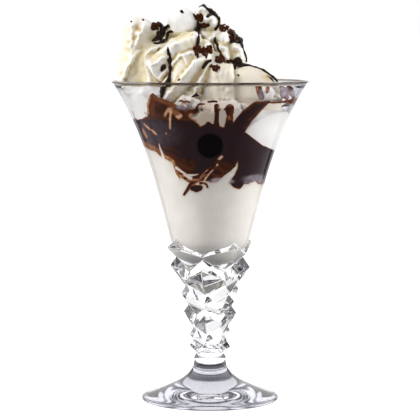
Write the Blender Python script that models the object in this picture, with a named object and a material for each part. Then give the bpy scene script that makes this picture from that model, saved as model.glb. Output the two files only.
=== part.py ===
"""Ice cream sundae in a stemmed glass: whipped cream, scoops, chocolate sauce and vanilla ice cream.

Metres, +Z up. The origin is the centre of the foot's resting face. Azimuth 0 faces -Y, the
side that is looked at, and grows towards +X.
"""
import math

import bmesh
import bpy
from mathutils import Vector, noise

MM = 0.001

# Driving dimensions of the glass.
GLASS_HEIGHT = 194 * MM
RIM_RADIUS = 59.6 * MM
FOOT_RADIUS = 41.6 * MM
FOOT_EDGE = 1.9 * MM
FOOT_DOME = 2.4 * MM
BOWL_FOOT_Z = 100 * MM
BOWL_FOOT_RADIUS = 24.4 * MM
BOWL_FOOT_SLOPE = 0.27
BOWL_RIM_SLOPE = 0.64
WALL = 2.4 * MM
CAVITY_FLOOR_Z = 82 * MM

# Round parts have this many sides, a multiple of the 8 sides of a stem tier.
SIDES = 32
SIDES_PER_FACET = SIDES // 8
FIRST_CORNER = math.radians(33)

# The stem's six tiers, top one first: height and radius of each square tier's corners.
TIERS = (
    (94.5 * MM, 30.8 * MM),
    (81.3 * MM, 24.9 * MM),
    (66.1 * MM, 20.9 * MM),
    (53.2 * MM, 16.5 * MM),
    (41.0 * MM, 14.7 * MM),
    (32.3 * MM, 12.9 * MM),
)
SIDE_SHARE = 0.72  # a tier's half width across its flats, as a share of its corner radius
SIDE_DROP = 0.29  # how far a flat's middle lies below the corners, as a share of that radius
SHOULDER_RISE = 0.25  # height of the facet above the girdle, as a share of that radius
SHOULDER_INSET = 0.18  # how far that facet leans in, as a share of that radius
BOWL_TIER_TOP = 99.5 * MM
BOWL_TIER_NOTCH = 90.5 * MM

# Contents.
GAP = 0.35 * MM
SAUCE_FLOOR_LEFT = 153 * MM
SAUCE_FLOOR_RIGHT = 132.5 * MM
SAUCE_LEVEL = 171 * MM
# Tongues of sauce up the wall: azimuth and half width in degrees, height in mm.
SAUCE_TONGUES = ((-35, 22, 16), (10, 13, 11))
CREAM_CENTRE = Vector((-17, 0, 0)) * MM
CREAM_CORE = Vector((24, 24, 27)) * MM
CREAM_CORE_Z = 192 * MM


def clear_scene():
    for old in list(bpy.data.objects):
        bpy.data.objects.remove(old)


def material(name, colour, roughness, transmission=0.0):
    made = bpy.data.materials.new(name)
    made.use_nodes = True
    shader = made.node_tree.nodes["Principled BSDF"]
    shader.inputs["Base Color"].default_value = (*colour, 1)
    shader.inputs["Roughness"].default_value = roughness
    shader.inputs["Metallic"].default_value = 0
    shader.inputs["Transmission Weight"].default_value = transmission
    made.diffuse_color = (*colour, 1)
    return made


def smoothstep(low, high, x):
    t = min(max((x - low) / (high - low), 0), 1)
    return t * t * (3 - 2 * t)


def on_circle(azimuth, radius, z):
    """The point at this azimuth and radius: 0 faces -Y, and +X is at 90 degrees."""
    return Vector((radius * math.sin(azimuth), -radius * math.cos(azimuth), z))


def column_azimuth(column):
    return FIRST_CORNER + 2 * math.pi * column / SIDES


def bowl_radius(z):
    """The bowl's outer wall, a cubic from the top of the stem to the rim."""
    length = GLASS_HEIGHT - BOWL_FOOT_Z
    t = (z - BOWL_FOOT_Z) / length
    if t < 0:
        return BOWL_FOOT_RADIUS + BOWL_FOOT_SLOPE * (z - BOWL_FOOT_Z)
    t = min(t, 1)
    low, high = BOWL_FOOT_SLOPE * length, BOWL_RIM_SLOPE * length
    return (
        (2 * t**3 - 3 * t**2 + 1) * BOWL_FOOT_RADIUS
        + (t**3 - 2 * t**2 + t) * low
        + (3 * t**2 - 2 * t**3) * RIM_RADIUS
        + (t**3 - t**2) * high
    )


def cavity_radius(z):
    """The bowl's inner wall, which closes in a round floor."""
    depth = (BOWL_FOOT_Z - z) / (BOWL_FOOT_Z - CAVITY_FLOOR_Z)
    rounding = math.sqrt(max(0, 1 - max(0, depth) ** 3))
    return (bowl_radius(z) - WALL) * rounding


# ---------------------------------------------------------------- meshes


def link(name, mesh_edit, surface, smooth_angle=35):
    """An object from a finished bmesh, shaded smooth up to the angle given."""
    bmesh.ops.recalc_face_normals(mesh_edit, faces=mesh_edit.faces)
    mesh = bpy.data.meshes.new(name)
    mesh_edit.to_mesh(mesh)
    mesh_edit.free()
    mesh.materials.append(surface)
    mesh.shade_smooth()
    mesh.set_sharp_from_angle(angle=math.radians(smooth_angle))
    made = bpy.data.objects.new(name, mesh)
    bpy.context.scene.collection.objects.link(made)
    return made


def skin(mesh_edit, rows, closed_ends=True):
    """Faces between rings of equal length, with a fan or a face at each end."""
    rings = [[mesh_edit.verts.new(point) for point in row] for row in rows]
    for below, above in zip(rings, rings[1:]):
        if len(below) == 1 or len(above) == 1:
            ring = above if len(below) == 1 else below
            tip = below[0] if len(below) == 1 else above[0]
            for i, vertex in enumerate(ring):
                mesh_edit.faces.new((tip, vertex, ring[(i + 1) % len(ring)]))
            continue
        for i in range(len(below)):
            j = (i + 1) % len(below)
            mesh_edit.faces.new((below[i], below[j], above[j]))
            mesh_edit.faces.new((below[i], above[j], above[i]))
    if closed_ends:
        for ring in (rings[0], rings[-1]):
            if len(ring) > 1:
                mesh_edit.faces.new(ring)
    return rings


def round_row(radius, z):
    return [on_circle(column_azimuth(i), radius, z) for i in range(SIDES)]


def tier_row(corner, flat, turned):
    """A square ring that zigzags from its corners (radius, z) to the middles of its flats."""
    turns = []
    for i in range(8):
        radius, z = corner if (i + turned) % 2 == 0 else flat
        turns.append(on_circle(FIRST_CORNER + i * math.pi / 4, radius, z))
    row = []
    for here, there in zip(turns, turns[1:] + turns[:1]):
        row += [here.lerp(there, k / SIDES_PER_FACET) for k in range(SIDES_PER_FACET)]
    return row


def stem_rows():
    """The tiers from the neck up to the bowl, each a girdle and the shoulder above it."""
    rows = []
    for level in reversed(range(len(TIERS))):
        z, radius = TIERS[level]
        girdle_flat = (SIDE_SHARE * radius, z - SIDE_DROP * radius)
        shoulder = ((1 - SHOULDER_INSET) * radius, z + SHOULDER_RISE * radius)
        shoulder_flat = (
            SIDE_SHARE * shoulder[0],
            girdle_flat[1] + (SHOULDER_RISE - 0.02) * radius,
        )
        if level == 0:
            girdle_flat = (SIDE_SHARE * radius, BOWL_TIER_NOTCH - 1.5 * MM)
            shoulder = (bowl_radius(BOWL_TIER_TOP), BOWL_TIER_TOP)
            shoulder_flat = (bowl_radius(BOWL_TIER_NOTCH), BOWL_TIER_NOTCH)
        rows.append(tier_row((radius, z), girdle_flat, level % 2))
        rows.append(tier_row(shoulder, shoulder_flat, level % 2))
    return rows


def foot_rows():
    """From the middle of the domed underside out to the edge and up to the neck."""
    profile = (
        (12.0, 2.2),
        (24.0, 1.4),
        (35.0, 0.0),
        (40.6, 0.0),
        (41.5, 0.5),
        (41.6, 1.1),
        (41.1, 1.9),
        (34.0, 4.2),
        (25.9, 7.6),
        (21.0, 10.0),
        (16.4, 12.8),
        (13.0, 15.8),
        (11.0, 18.6),
        (9.8, 21.6),
        (9.0, 25.2),
    )
    rows = [[Vector((0, 0, FOOT_DOME))]]
    return rows + [round_row(radius * MM, z * MM) for radius, z in profile]


def bowl_rows():
    """The bowl's outside, the rounded rim, the inside and the cavity's floor."""
    rim_z = GLASS_HEIGHT - 1.6 * MM
    outer = [BOWL_FOOT_Z + share * (rim_z - BOWL_FOOT_Z) for share in (0.03, 0.2, 0.4, 0.6, 0.8, 1)]
    rows = [round_row(bowl_radius(z), z) for z in outer]
    middle = RIM_RADIUS - WALL / 2
    rows.append(round_row(middle + 0.6 * WALL, GLASS_HEIGHT - 0.9 * MM))
    rows.append(round_row(middle + 0.25 * WALL, GLASS_HEIGHT))
    rows.append(round_row(middle - 0.3 * WALL, GLASS_HEIGHT))
    rows.append(round_row(middle - 0.55 * WALL, GLASS_HEIGHT - 0.8 * MM))
    rows += [round_row(cavity_radius(z), z) for z in reversed(outer[1:])]
    rows += [round_row(cavity_radius(z), z) for z in reversed(cavity_floor_heights())]
    rows.append([Vector((0, 0, CAVITY_FLOOR_Z))])
    return rows


def cavity_floor_heights():
    depth = BOWL_FOOT_Z - CAVITY_FLOOR_Z
    return [CAVITY_FLOOR_Z + share * depth for share in (0.02, 0.12, 0.35, 0.65, 1)]


def make_glass(surface):
    edit = bmesh.new()
    skin(edit, foot_rows() + stem_rows() + bowl_rows())
    return link("glass", edit, surface, 20)


# ---------------------------------------------------------------- layers in the bowl


def wall_point(azimuth, z):
    return on_circle(azimuth, cavity_radius(z) - GAP, z)


def sauce_floor(azimuth):
    """Height at the wall of the boundary between ice cream and sauce: high on the left."""
    turn = math.degrees(azimuth) % 360
    if turn > 200:
        low = smoothstep(300, 338, turn)
    else:
        low = 1 - smoothstep(110, 200, turn)
    ripple = 1.4 * MM * math.sin(5 * azimuth + 0.6)
    return SAUCE_FLOOR_LEFT + (SAUCE_FLOOR_RIGHT - SAUCE_FLOOR_LEFT) * low + ripple


def sauce_top(azimuth):
    """Height at the wall of the sauce, with the tongue and the drips that stand up in front."""
    turn = (math.degrees(azimuth) + 180) % 360 - 180
    rise = 0
    for middle, half_width, height in SAUCE_TONGUES:
        rise = max(rise, height * MM * (1 - smoothstep(0, half_width, abs(turn - middle))))
    return SAUCE_LEVEL + rise


def disc_rows(height_at_wall, middle, shares, lift):
    """Rings of a layer's upper or lower face, from the wall inwards, lifted by the gap."""
    rows = []
    for share in shares:
        row = []
        for i in range(SIDES):
            azimuth = column_azimuth(i)
            edge = wall_point(azimuth, height_at_wall(azimuth))
            blend = smoothstep(0, 1, (1 - share) / 0.35)
            z = edge.z + (middle - edge.z) * blend
            row.append(Vector((edge.x * share, edge.y * share, z + lift)))
        rows.append(row)
    return rows


def wall_rows(low_at_wall, high_at_wall, count):
    rows = []
    for k in range(1, count):
        row = []
        for i in range(SIDES):
            azimuth = column_azimuth(i)
            low, high = low_at_wall(azimuth), high_at_wall(azimuth)
            row.append(wall_point(azimuth, low + (high - low) * k / count))
        rows.append(row)
    return rows


def make_ice_cream_base(surface):
    """The vanilla ice cream that fills the bowl below the sauce."""
    edit = bmesh.new()
    floor = [[Vector((0, 0, CAVITY_FLOOR_Z + 2 * GAP))]]
    for z in cavity_floor_heights():
        floor.append(round_row(cavity_radius(z) - GAP, z + GAP))
    side = wall_rows(lambda azimuth: BOWL_FOOT_Z + GAP, sauce_floor, 3)
    middle = (SAUCE_FLOOR_LEFT + SAUCE_FLOOR_RIGHT) / 2
    top = disc_rows(sauce_floor, middle, (1, 0.8, 0.45), -GAP / 2)
    skin(edit, floor + side + top + [[Vector((0, 0, middle - GAP / 2))]])
    return link("ice_cream_base", edit, surface)


def make_sauce(surface, cutters):
    """The chocolate sauce, from the ice cream up to its level, round the scoops in it."""
    edit = bmesh.new()
    middle = (SAUCE_FLOOR_LEFT + SAUCE_FLOOR_RIGHT) / 2
    over = disc_rows(sauce_top, SAUCE_LEVEL, (0.45, 0.8, 0.93, 1), 0)
    side = wall_rows(sauce_top, sauce_floor, 4)
    under = disc_rows(sauce_floor, middle, (1, 0.8, 0.45), GAP / 2)
    ends = [[Vector((0, 0, SAUCE_LEVEL))]], [[Vector((0, 0, middle + GAP / 2))]]
    skin(edit, ends[0] + over + side + under + ends[1])
    sauce = link("chocolate_sauce", edit, surface)
    cut(sauce, cutters)
    return sauce


# ---------------------------------------------------------------- scoops and toppings


def inside_wall(point, clearance):
    """The point moved in, where it would be in the glass, to lie clear of the flats."""
    limit = (cavity_radius(point.z) - clearance) * math.cos(math.pi / SIDES)
    reach = math.hypot(point.x, point.y)
    if point.z < GLASS_HEIGHT and reach > limit:
        return Vector((point.x * limit / reach, point.y * limit / reach, point.z))
    return point


def make_lump(name, centre, radii, surface, uneven, detail, swell=0.0):
    """A scoop, berry or clump: an uneven ball, flattened where the glass stops it."""
    edit = bmesh.new()
    bmesh.ops.create_icosphere(edit, subdivisions=detail, radius=1)
    for vertex in edit.verts:
        way = vertex.co.normalized()
        bump = 1 + uneven * noise.noise(way * 1.7 + centre * 90)
        offset = Vector(a * b for a, b in zip(way, radii)) * bump
        vertex.co = inside_wall(centre + offset + way * swell, GAP - 3 * swell)
    return link(name, edit, surface, 50)


def cut(target, cutters):
    for cutter in cutters:
        cutter.hide_render = True
        cutter.display_type = "WIRE"
        made = target.modifiers.new("cut_" + cutter.name, "BOOLEAN")
        made.operation = "DIFFERENCE"
        made.solver = "EXACT"
        made.object = cutter


# The cherry, the clumps of chocolate on the cream and the scoops: name, centre and radii in
# mm, how uneven each is and how finely it is divided. A lump makes room for those before it.
LUMPS = (
    ("dark_cherry", (1.4, -37.2, 157.0), (9.0, 9.0, 9.5), 0.02, 2),
    ("chocolate_clump_left", (-28.0, -20.0, 221.0), (6.5, 6.0, 6.5), 0.5, 2),
    ("chocolate_clump_top", (-4.5, -13.0, 229.0), (4.5, 3.5, 4.2), 0.5, 2),
    ("chocolate_clump_right", (15.5, -15.5, 219.0), (4.0, 4.5, 4.8), 0.5, 2),
    ("chocolate_clump_middle", (-4.5, -26.5, 211.5), (5.8, 4.0, 3.4), 0.5, 2),
    ("chocolate_clump_low", (18.0, -20.0, 205.0), (4.2, 4.0, 3.6), 0.5, 2),
    ("front_scoop", (8.0, -29.0, 190.5), (10.0, 11.0, 14.0), 0.06, 2),
    ("vanilla_scoop", (27.0, -19.0, 190.5), (13.6, 14.0, 13.2), 0.04, 2),
    ("side_scoop", (25.6, -13.6, 166.5), (24.0, 24.0, 15.5), 0.06, 2),
)


def make_lumps(surfaces):
    """The lumps, and the cutters that leave room for them in what lies round them."""
    rooms = []
    for (name, centre, radii, uneven, detail), surface in zip(LUMPS, surfaces):
        place, size = Vector(centre) * MM, Vector(radii) * MM
        lump = make_lump(name, place, size, surface, uneven, detail)
        cut(lump, rooms)
        rooms.append(make_lump(name + "_room", place, size, surface, uneven, detail, 2 * GAP))
    return rooms


# ---------------------------------------------------------------- whipped cream

RIBS = 8
STROKE_SHARES = (0, 0.2, 0.4, 0.6, 0.77, 0.89, 0.97, 1)

# Strokes of the star nozzle in front: foot, tip, how far the middle bows out and the radius
# at the foot and at the tip, all in mm, then the turn of the ribs in degrees, the depth of
# the grooves as a share of the radius, and the share of the length at which the end rounds.
FRONT_STROKES = (
    ((-38, -10, 183), (-43, -5, 231), 7, 14, 11, 35, 0.14, 0.8),
    ((-24, -21, 178), (-2, -13, 218), 8, 14, 10, 60, 0.26, 0.6),
    ((-31, -14, 200), (-6, -16, 222), 6, 10, 8, 70, 0.26, 0.5),
    ((-6, -22, 178), (3, -14, 211), 9, 11, 8, 50, 0.26, 0.5),
    ((-18, -4, 206), (-20.5, -8, 238), 1, 11, 11, 20, 0.07, 0.7),
    ((1, 0, 203), (-5, -2, 239), 3, 12, 8, 60, 0.2, 0.45),
    ((7, -8, 196), (8, -7, 227), 3, 10, 8, 45, 0.24, 0.5),
    ((13, -8, 192), (16, -7, 219), 2, 9, 7, 45, 0.24, 0.5),
)
BACK_STROKES = 5
BACK_FROM, BACK_TO = math.radians(75), math.radians(262)


def back_strokes():
    """Strokes fanned round the back of the heap, from its edge up to its middle."""
    rows = []
    for i in range(BACK_STROKES):
        azimuth = BACK_FROM + (BACK_TO - BACK_FROM) * i / (BACK_STROKES - 1)
        foot = CREAM_CENTRE + on_circle(azimuth, 21 * MM, 184 * MM)
        tip_z = (224 + 6 * math.sin(2.3 * i)) * MM
        tip = CREAM_CENTRE + on_circle(azimuth + 0.7, 8 * MM, tip_z)
        rows.append((foot / MM, tip / MM, 8, 14, 9, 50, 0.24, 0.5))
    return rows


def stroke_spine(foot, tip, bow):
    foot, tip = Vector(foot) * MM, Vector(tip) * MM
    out = (foot + tip) / 2 - CREAM_CENTRE
    out.z = 0
    middle = (foot + tip) / 2 + out.normalized() * bow * MM
    middle.z = foot.z + 0.45 * (tip.z - foot.z)
    return [foot * (1 - t) ** 2 + middle * 2 * t * (1 - t) + tip * t * t for t in STROKE_SHARES]


def star_row(centre, along, radius, turn, depth):
    """One ring of the star nozzle's stroke: crests and grooves in turn."""
    side = along.cross(Vector((0, 1, 0.2))).normalized()
    other = along.cross(side).normalized()
    row = []
    for k in range(2 * RIBS):
        angle = turn + math.pi * k / RIBS
        reach = radius * (1 if k % 2 == 0 else 1 - depth)
        point = centre + (side * math.cos(angle) + other * math.sin(angle)) * reach
        row.append(inside_wall(point, GAP))
    return row


def make_stroke(name, stroke, surface):
    foot, tip, bow, wide, narrow, twist, depth, rounds_from = stroke
    spine = stroke_spine(foot, tip, bow)
    rows = []
    for share, centre, beyond in zip(STROKE_SHARES, spine, spine[1:]):
        rounding = max(0, (share - rounds_from) / (1 - rounds_from))
        radius = (wide + (narrow - wide) * share) * MM * math.sqrt(1 - rounding**2)
        rows.append(star_row(centre, beyond - centre, radius, math.radians(twist) * share, depth))
    edit = bmesh.new()
    skin(edit, rows + [[spine[-1]]])
    return link(name, edit, surface)


def make_cream_core(surface):
    edit = bmesh.new()
    bmesh.ops.create_icosphere(edit, subdivisions=2, radius=1)
    for vertex in edit.verts:
        stretched = Vector(a * b for a, b in zip(vertex.co, CREAM_CORE))
        point = CREAM_CENTRE + Vector((0, 0, CREAM_CORE_Z)) + stretched
        vertex.co = inside_wall(point, GAP)
    return link("whipped_cream", edit, surface)


def make_whipped_cream(surface, cutters):
    """The piped heap: a core and the strokes joined to it, cut to lie on what is below."""
    cream = make_cream_core(surface)
    helpers = bpy.data.collections.new("strokes")
    bpy.context.scene.collection.children.link(helpers)
    for i, stroke in enumerate(list(FRONT_STROKES) + back_strokes()):
        helper = make_stroke(f"stroke_{i}", stroke, surface)
        bpy.context.scene.collection.objects.unlink(helper)
        helpers.objects.link(helper)
        helper.hide_render = True
        helper.display_type = "WIRE"
    joined = cream.modifiers.new("strokes", "BOOLEAN")
    joined.operation = "UNION"
    joined.solver = "EXACT"
    joined.operand_type = "COLLECTION"
    joined.collection = helpers
    cut(cream, cutters)
    return cream


def make_room_for_sauce(surface):
    """A cutter that takes away everything below the sauce's upper face and a gap over it."""
    edit = bmesh.new()
    rows = disc_rows(sauce_top, SAUCE_LEVEL, (0.45, 0.8, 0.93, 1), GAP)
    rows.append([Vector((1.1 * p.x, 1.1 * p.y, p.z)) for p in rows[-1]])
    rows.append([Vector((p.x, p.y, CAVITY_FLOOR_Z)) for p in rows[-1]])
    skin(edit, [[Vector((0, 0, SAUCE_LEVEL + GAP))]] + rows)
    return link("sauce_room", edit, surface)


def main():
    clear_scene()
    glass = material("glass", (0.95, 0.96, 0.97), 0.02, 1)
    vanilla = material("vanilla_ice_cream", (0.90, 0.87, 0.79), 0.5)
    cream = material("whipped_cream", (0.93, 0.90, 0.82), 0.55)
    chocolate = material("chocolate_sauce", (0.045, 0.018, 0.012), 0.18)
    cherry = material("dark_cherry", (0.006, 0.004, 0.004), 0.3)

    make_glass(glass)
    make_ice_cream_base(vanilla)
    rooms = make_lumps([cherry] + [chocolate] * 5 + [vanilla] * 3)
    make_sauce(chocolate, rooms)
    make_whipped_cream(cream, [make_room_for_sauce(cream)] + rooms[1:])


main()
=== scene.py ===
"""Looks of the ice cream sundae: clear bevelled glass, ice cream, sauce, whipped cream, toppings.

Shapes are worked out in millimetres and turned into metres when a mesh is made. Azimuth 0
faces the camera, along -Y, and grows towards +X.
"""

import math
import random
from contextlib import contextmanager

import bmesh
import bpy
import numpy as np
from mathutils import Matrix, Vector, noise
from mathutils.bvhtree import BVHTree

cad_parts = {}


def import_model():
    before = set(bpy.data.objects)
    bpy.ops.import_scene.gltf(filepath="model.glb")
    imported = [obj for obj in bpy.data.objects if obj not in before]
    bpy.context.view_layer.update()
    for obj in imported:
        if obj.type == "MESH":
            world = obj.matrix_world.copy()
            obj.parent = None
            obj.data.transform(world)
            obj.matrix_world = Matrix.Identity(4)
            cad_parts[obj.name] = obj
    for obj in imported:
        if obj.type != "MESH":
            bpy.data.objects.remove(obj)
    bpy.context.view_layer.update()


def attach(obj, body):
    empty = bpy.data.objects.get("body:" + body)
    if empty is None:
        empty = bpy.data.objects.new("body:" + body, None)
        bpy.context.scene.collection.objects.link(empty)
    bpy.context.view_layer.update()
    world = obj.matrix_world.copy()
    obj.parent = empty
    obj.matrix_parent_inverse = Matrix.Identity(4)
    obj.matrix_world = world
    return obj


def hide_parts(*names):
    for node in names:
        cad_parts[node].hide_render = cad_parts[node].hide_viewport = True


MM = 0.001

# Glass, as in the solids, but for its cavity's floor, which is higher so that the top tier shows.
GLASS_HEIGHT = 194.0
RIM_RADIUS = 59.6
BOWL_FOOT_Z = 100.0
BOWL_FOOT_RADIUS = 24.4
BOWL_FOOT_SLOPE = 0.27
BOWL_RIM_SLOPE = 0.64
WALL = 2.4
CAVITY_FLOOR_Z = 88.4
FOOT_DOME_Z = 2.4
RIM_ROUND = 1.3
SIDES = 8
FIRST_CORNER = math.radians(33)
STEM_FOOT = (7.0, 28.6)
CUT_EDGE = 0.35
# Height and radius of each cut tier, and how its sides lie lower and closer in than its corners.
TIERS = ((94.5, 30.8), (81.3, 24.9), (66.1, 20.9), (53.2, 16.5), (41.0, 14.7), (32.3, 12.9))
SIDE_SHARE = 0.72
SIDE_DROP = 0.29
SHOULDER_RISE = 0.25
SHOULDER_INSET = 0.18
TOP_SIDE_Z = 89.0
TOP_SHOULDER_Z = 99.5
TOP_SHOULDER_SIDE_Z = 90.5
FOOT_PROFILE = (
    (12.0, 2.2), (24.0, 1.4), (33.0, 0.3), (36.0, 0.0), (40.4, 0.0), (41.3, 0.35), (41.6, 1.0),
    (41.4, 1.6), (40.8, 2.0), (38.0, 2.8), (34.0, 4.2), (30.0, 5.75), (25.9, 7.6), (21.5, 9.75),
    (18.5, 11.4), (16.0, 13.1), (13.6, 15.2), (12.0, 17.1), (11.0, 18.7), (10.3, 20.2),
    (9.8, 22.0), (9.4, 24.0), (9.7, 25.1), (9.4, 26.2), (8.6, 27.5),
)
CORE_PROFILE = ((8.2, 29.0), (8.6, 45.0), (11.0, 60.0), (14.0, 75.0), (17.5, 86.0), (21.5, 93.0))
# The cut stem ends in a cup that lies in the wall under the cavity.
CUP_HEIGHTS = (97, 91, 86)
CUP_TIP_Z = 79.5
CUP_INTO_WALL = 1.1
# How far under the rim its painted shade, a dark edge, starts and is full, and where the foot's painted
# lavender shade ends.
LIP_PAINTED_SHADE_DEPTHS = (1.8, 0.9)
FOOT_PAINTED_SHADE_HEIGHTS = (8, 26)
ROUND_COLUMNS = 144

# Contents. They reach a little into the wall, so that no air shows between them and the glass.
INTO_WALL = 0.25
BASE_TOP = 168.1
SAUCE_LOWEST = 125
SAUCE_HIGHEST = 192.6
SAUCE_GRID = 0.5
SAUCE_LEVEL = 168.4
THICK_BELOW = 171.6
FILM = 0.6


# ---------------------------------------------------------------- curves and surfaces


def smoothstep(low, high, x):
    t = np.clip((x - low) / (high - low), 0, 1)
    return t * t * (3 - 2 * t)


def bowl_radius(z):
    """The bowl's outer wall, a cubic from the top of the stem to the rim."""
    length = GLASS_HEIGHT - BOWL_FOOT_Z
    t = np.clip((np.asarray(z, float) - BOWL_FOOT_Z) / length, 0, 1)
    low, high = BOWL_FOOT_SLOPE * length, BOWL_RIM_SLOPE * length
    cubic = (
        (2 * t**3 - 3 * t**2 + 1) * BOWL_FOOT_RADIUS
        + (t**3 - 2 * t**2 + t) * low
        + (3 * t**2 - 2 * t**3) * RIM_RADIUS
        + (t**3 - t**2) * high
    )
    return cubic + np.minimum(0, np.asarray(z, float) - BOWL_FOOT_Z) * BOWL_FOOT_SLOPE


def cavity_radius(z):
    """The bowl's inner wall, which closes in a round floor."""
    depth = np.clip((BOWL_FOOT_Z - np.asarray(z, float)) / (BOWL_FOOT_Z - CAVITY_FLOOR_Z), 0, 1)
    return (bowl_radius(z) - WALL) * np.sqrt(1 - depth**3)


def turns(count):
    """Angles in radians, evenly all the way round."""
    return np.linspace(0, 2 * math.pi, count, endpoint=False)


def on_circle(azimuth, radius, z):
    """Points at these azimuths in radians: 0 faces -Y, and +X is at 90 degrees."""
    azimuth, radius, z = np.broadcast_arrays(azimuth, radius, z)
    return np.stack([radius * np.sin(azimuth), -radius * np.cos(azimuth), z], axis=-1)


def through(points, count):
    """A smooth curve of that many points through the given ones (Catmull-Rom)."""
    p = np.asarray(points, float)
    p = np.vstack([2 * p[0] - p[1], p, 2 * p[-1] - p[-2]])
    t = np.linspace(0, len(p) - 3 - 1e-9, count)
    i = t.astype(int)
    f = (t - i)[:, None]
    a, b, c, d = p[i], p[i + 1], p[i + 2], p[i + 3]
    bend = (2 * a - 5 * b + 4 * c - d) * f**2 + (3 * b - a - 3 * c + d) * f**3
    return 0.5 * (2 * b + (c - a) * f + bend)


def unit(rows):
    """The vectors in the rows, each brought to length 1."""
    return rows / np.linalg.norm(rows, axis=1)[:, None]


def grain(points, size, octaves=2, seed=0.0):
    """Smooth noise from -1 to 1 at the points, in lumps of about that size in mm."""
    shift = Vector((seed * 7.3, seed * 3.1, seed * 5.7))
    flat = np.asarray(points, float).reshape(-1, 3) / size
    values = [noise.fractal(Vector(p) + shift, 1.0, 2.0, octaves) for p in flat]
    return np.array(values).reshape(np.asarray(points).shape[:-1])


# ---------------------------------------------------------------- mesh making


def new_object(name, points, faces, surface):
    """A smooth object in the scene, from points in mm."""
    mesh = bpy.data.meshes.new(name)
    mesh.from_pydata((np.asarray(points) * MM).tolist(), [], faces)
    mesh.materials.append(surface)
    mesh.shade_smooth()
    made = bpy.data.objects.new(name, mesh)
    bpy.context.scene.collection.objects.link(made)
    return made


def ring_faces(rows, columns):
    """Quads between rings of points, each ring closed on itself."""
    faces = []
    for a in range(0, (rows - 1) * columns, columns):
        b = a + columns
        for i in range(columns):
            j = (i + 1) % columns
            faces.append((a + i, a + j, b + j, b + i))
    return faces


def skin(rings, low_tip=None, high_tip=None):
    """Points and faces of a closed skin over rings, ended by a tip point or a flat cap."""
    rows, columns = rings.shape[:2]
    points = rings.reshape(-1, 3)
    faces = ring_faces(rows, columns)
    last = (rows - 1) * columns
    for tip, start, turned in ((low_tip, 0, True), (high_tip, last, False)):
        ring = list(range(start, start + columns))
        if tip is None:
            faces.append(tuple(reversed(ring)) if turned else tuple(ring))
            continue
        points = np.vstack([points, tip])
        top = len(points) - 1
        for i in range(columns):
            pair = (ring[i], ring[(i + 1) % columns])
            faces.append((pair[1], pair[0], top) if turned else (pair[0], pair[1], top))
    return points, faces


@contextmanager
def edited(made):
    """The object's mesh opened for editing, and written back at the end."""
    edit = bmesh.new()
    edit.from_mesh(made.data)
    yield edit
    edit.to_mesh(made.data)
    edit.free()


def outward(made):
    """The object with its faces turned outwards."""
    with edited(made) as edit:
        bmesh.ops.recalc_face_normals(edit, faces=edit.faces)
    return made


def applied(made):
    """The object with its modifiers made part of its mesh."""
    bpy.context.view_layer.update()
    evaluated = made.evaluated_get(bpy.context.evaluated_depsgraph_get())
    mesh = bpy.data.meshes.new_from_object(evaluated)
    made.modifiers.clear()
    made.data = mesh
    return made


def gathered(parts):
    """Points and faces of several (points, faces) as one."""
    points, faces, first = [], [], 0
    for part_points, part_faces in parts:
        points.append(part_points)
        faces += [tuple(first + i for i in face) for face in part_faces]
        first += len(part_points)
    return np.vstack(points), faces


def joined(name, parts, surface):
    """One object from several (points, faces)."""
    return new_object(name, *gathered(parts), surface)


def remeshed(made, size):
    """The object's outer skin in even faces of that size in mm."""
    skin_over = made.modifiers.new("skin", "REMESH")
    skin_over.mode = "VOXEL"
    skin_over.voxel_size = size * MM
    skin_over.use_smooth_shade = True
    return applied(made)


def vectors(made, key):
    """One vector for each point of the mesh: its place, "co", or its "normal"."""
    points = made.data.vertices
    values = np.empty(len(points) * 3, np.float32)
    points.foreach_get(key, values)
    return values.reshape(-1, 3).astype(float)


def points_of(made):
    """The mesh's points in mm."""
    return vectors(made, "co") / MM


def move_to(made, points):
    made.data.vertices.foreach_set("co", (points * MM).astype(np.float32).ravel())
    made.data.update()


def neighbours_mean(made, values, rounds):
    """Each point's values turned into the mean of its neighbours', as many times as there are rounds."""
    edges = np.empty(len(made.data.edges) * 2, np.int32)
    made.data.edges.foreach_get("vertices", edges)
    a, b = edges.reshape(-1, 2).T
    count = len(values)
    degree = np.bincount(a, minlength=count) + np.bincount(b, minlength=count)
    for _ in range(rounds):
        sums = [np.bincount(a, v[b], count) + np.bincount(b, v[a], count) for v in values.T]
        values = np.stack(sums, axis=1) / np.maximum(degree, 1)[:, None]
    return values


def mark(made, name, values):
    """Stores one number for each point, which the material reads."""
    stored = made.data.attributes
    attribute = stored.get(name) or stored.new(name, "FLOAT", "POINT")
    attribute.data.foreach_set("value", np.asarray(values, np.float32))


def mark_hollows(made, extra):
    """Stores how deep each point lies in a groove, in mm, below 0 on a crest, plus an extra. The cream's
    material paints shade by it.
    """
    here = points_of(made)
    smooth = neighbours_mean(made, here, HOLLOW_ROUNDS)
    mark(made, "hollow", ((smooth - here) * vectors(made, "normal")).sum(axis=1) + extra)


def keep_inside(points, clearance):
    """Points moved in to lie inside the glass, by a clearance that is below 0 into the wall."""
    reach = np.hypot(points[:, 0], points[:, 1])
    limit = cavity_radius(points[:, 2]) - clearance
    over_rim = np.clip((points[:, 2] - GLASS_HEIGHT + 2.5) / 3.5, 0, 1)
    limit = limit + over_rim * np.maximum(0, reach - limit)
    share = np.where(reach > limit, limit / np.maximum(reach, 1e-6), 1)
    points[:, :2] *= share[:, None]
    return points


class Outside:
    """The outer surface of the food, to lay toppings on."""

    def __init__(self, pieces):
        skins = [(points_of(made), [tuple(p.vertices) for p in made.data.polygons]) for made in pieces]
        points, faces = gathered(skins)
        self.tree = BVHTree.FromPolygons(points.tolist(), faces)

    def seen_at(self, x, z):
        """The point and normal seen from the front at this x and height."""
        hit, normal, _, _ = self.tree.ray_cast(Vector((x, -90, z)), Vector((0, 1, 0)))
        if hit is None:
            hit, normal, _, _ = self.tree.find_nearest(Vector((x, -8, z)))
        return np.array(hit), np.array(normal)


# ---------------------------------------------------------------- materials


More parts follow.
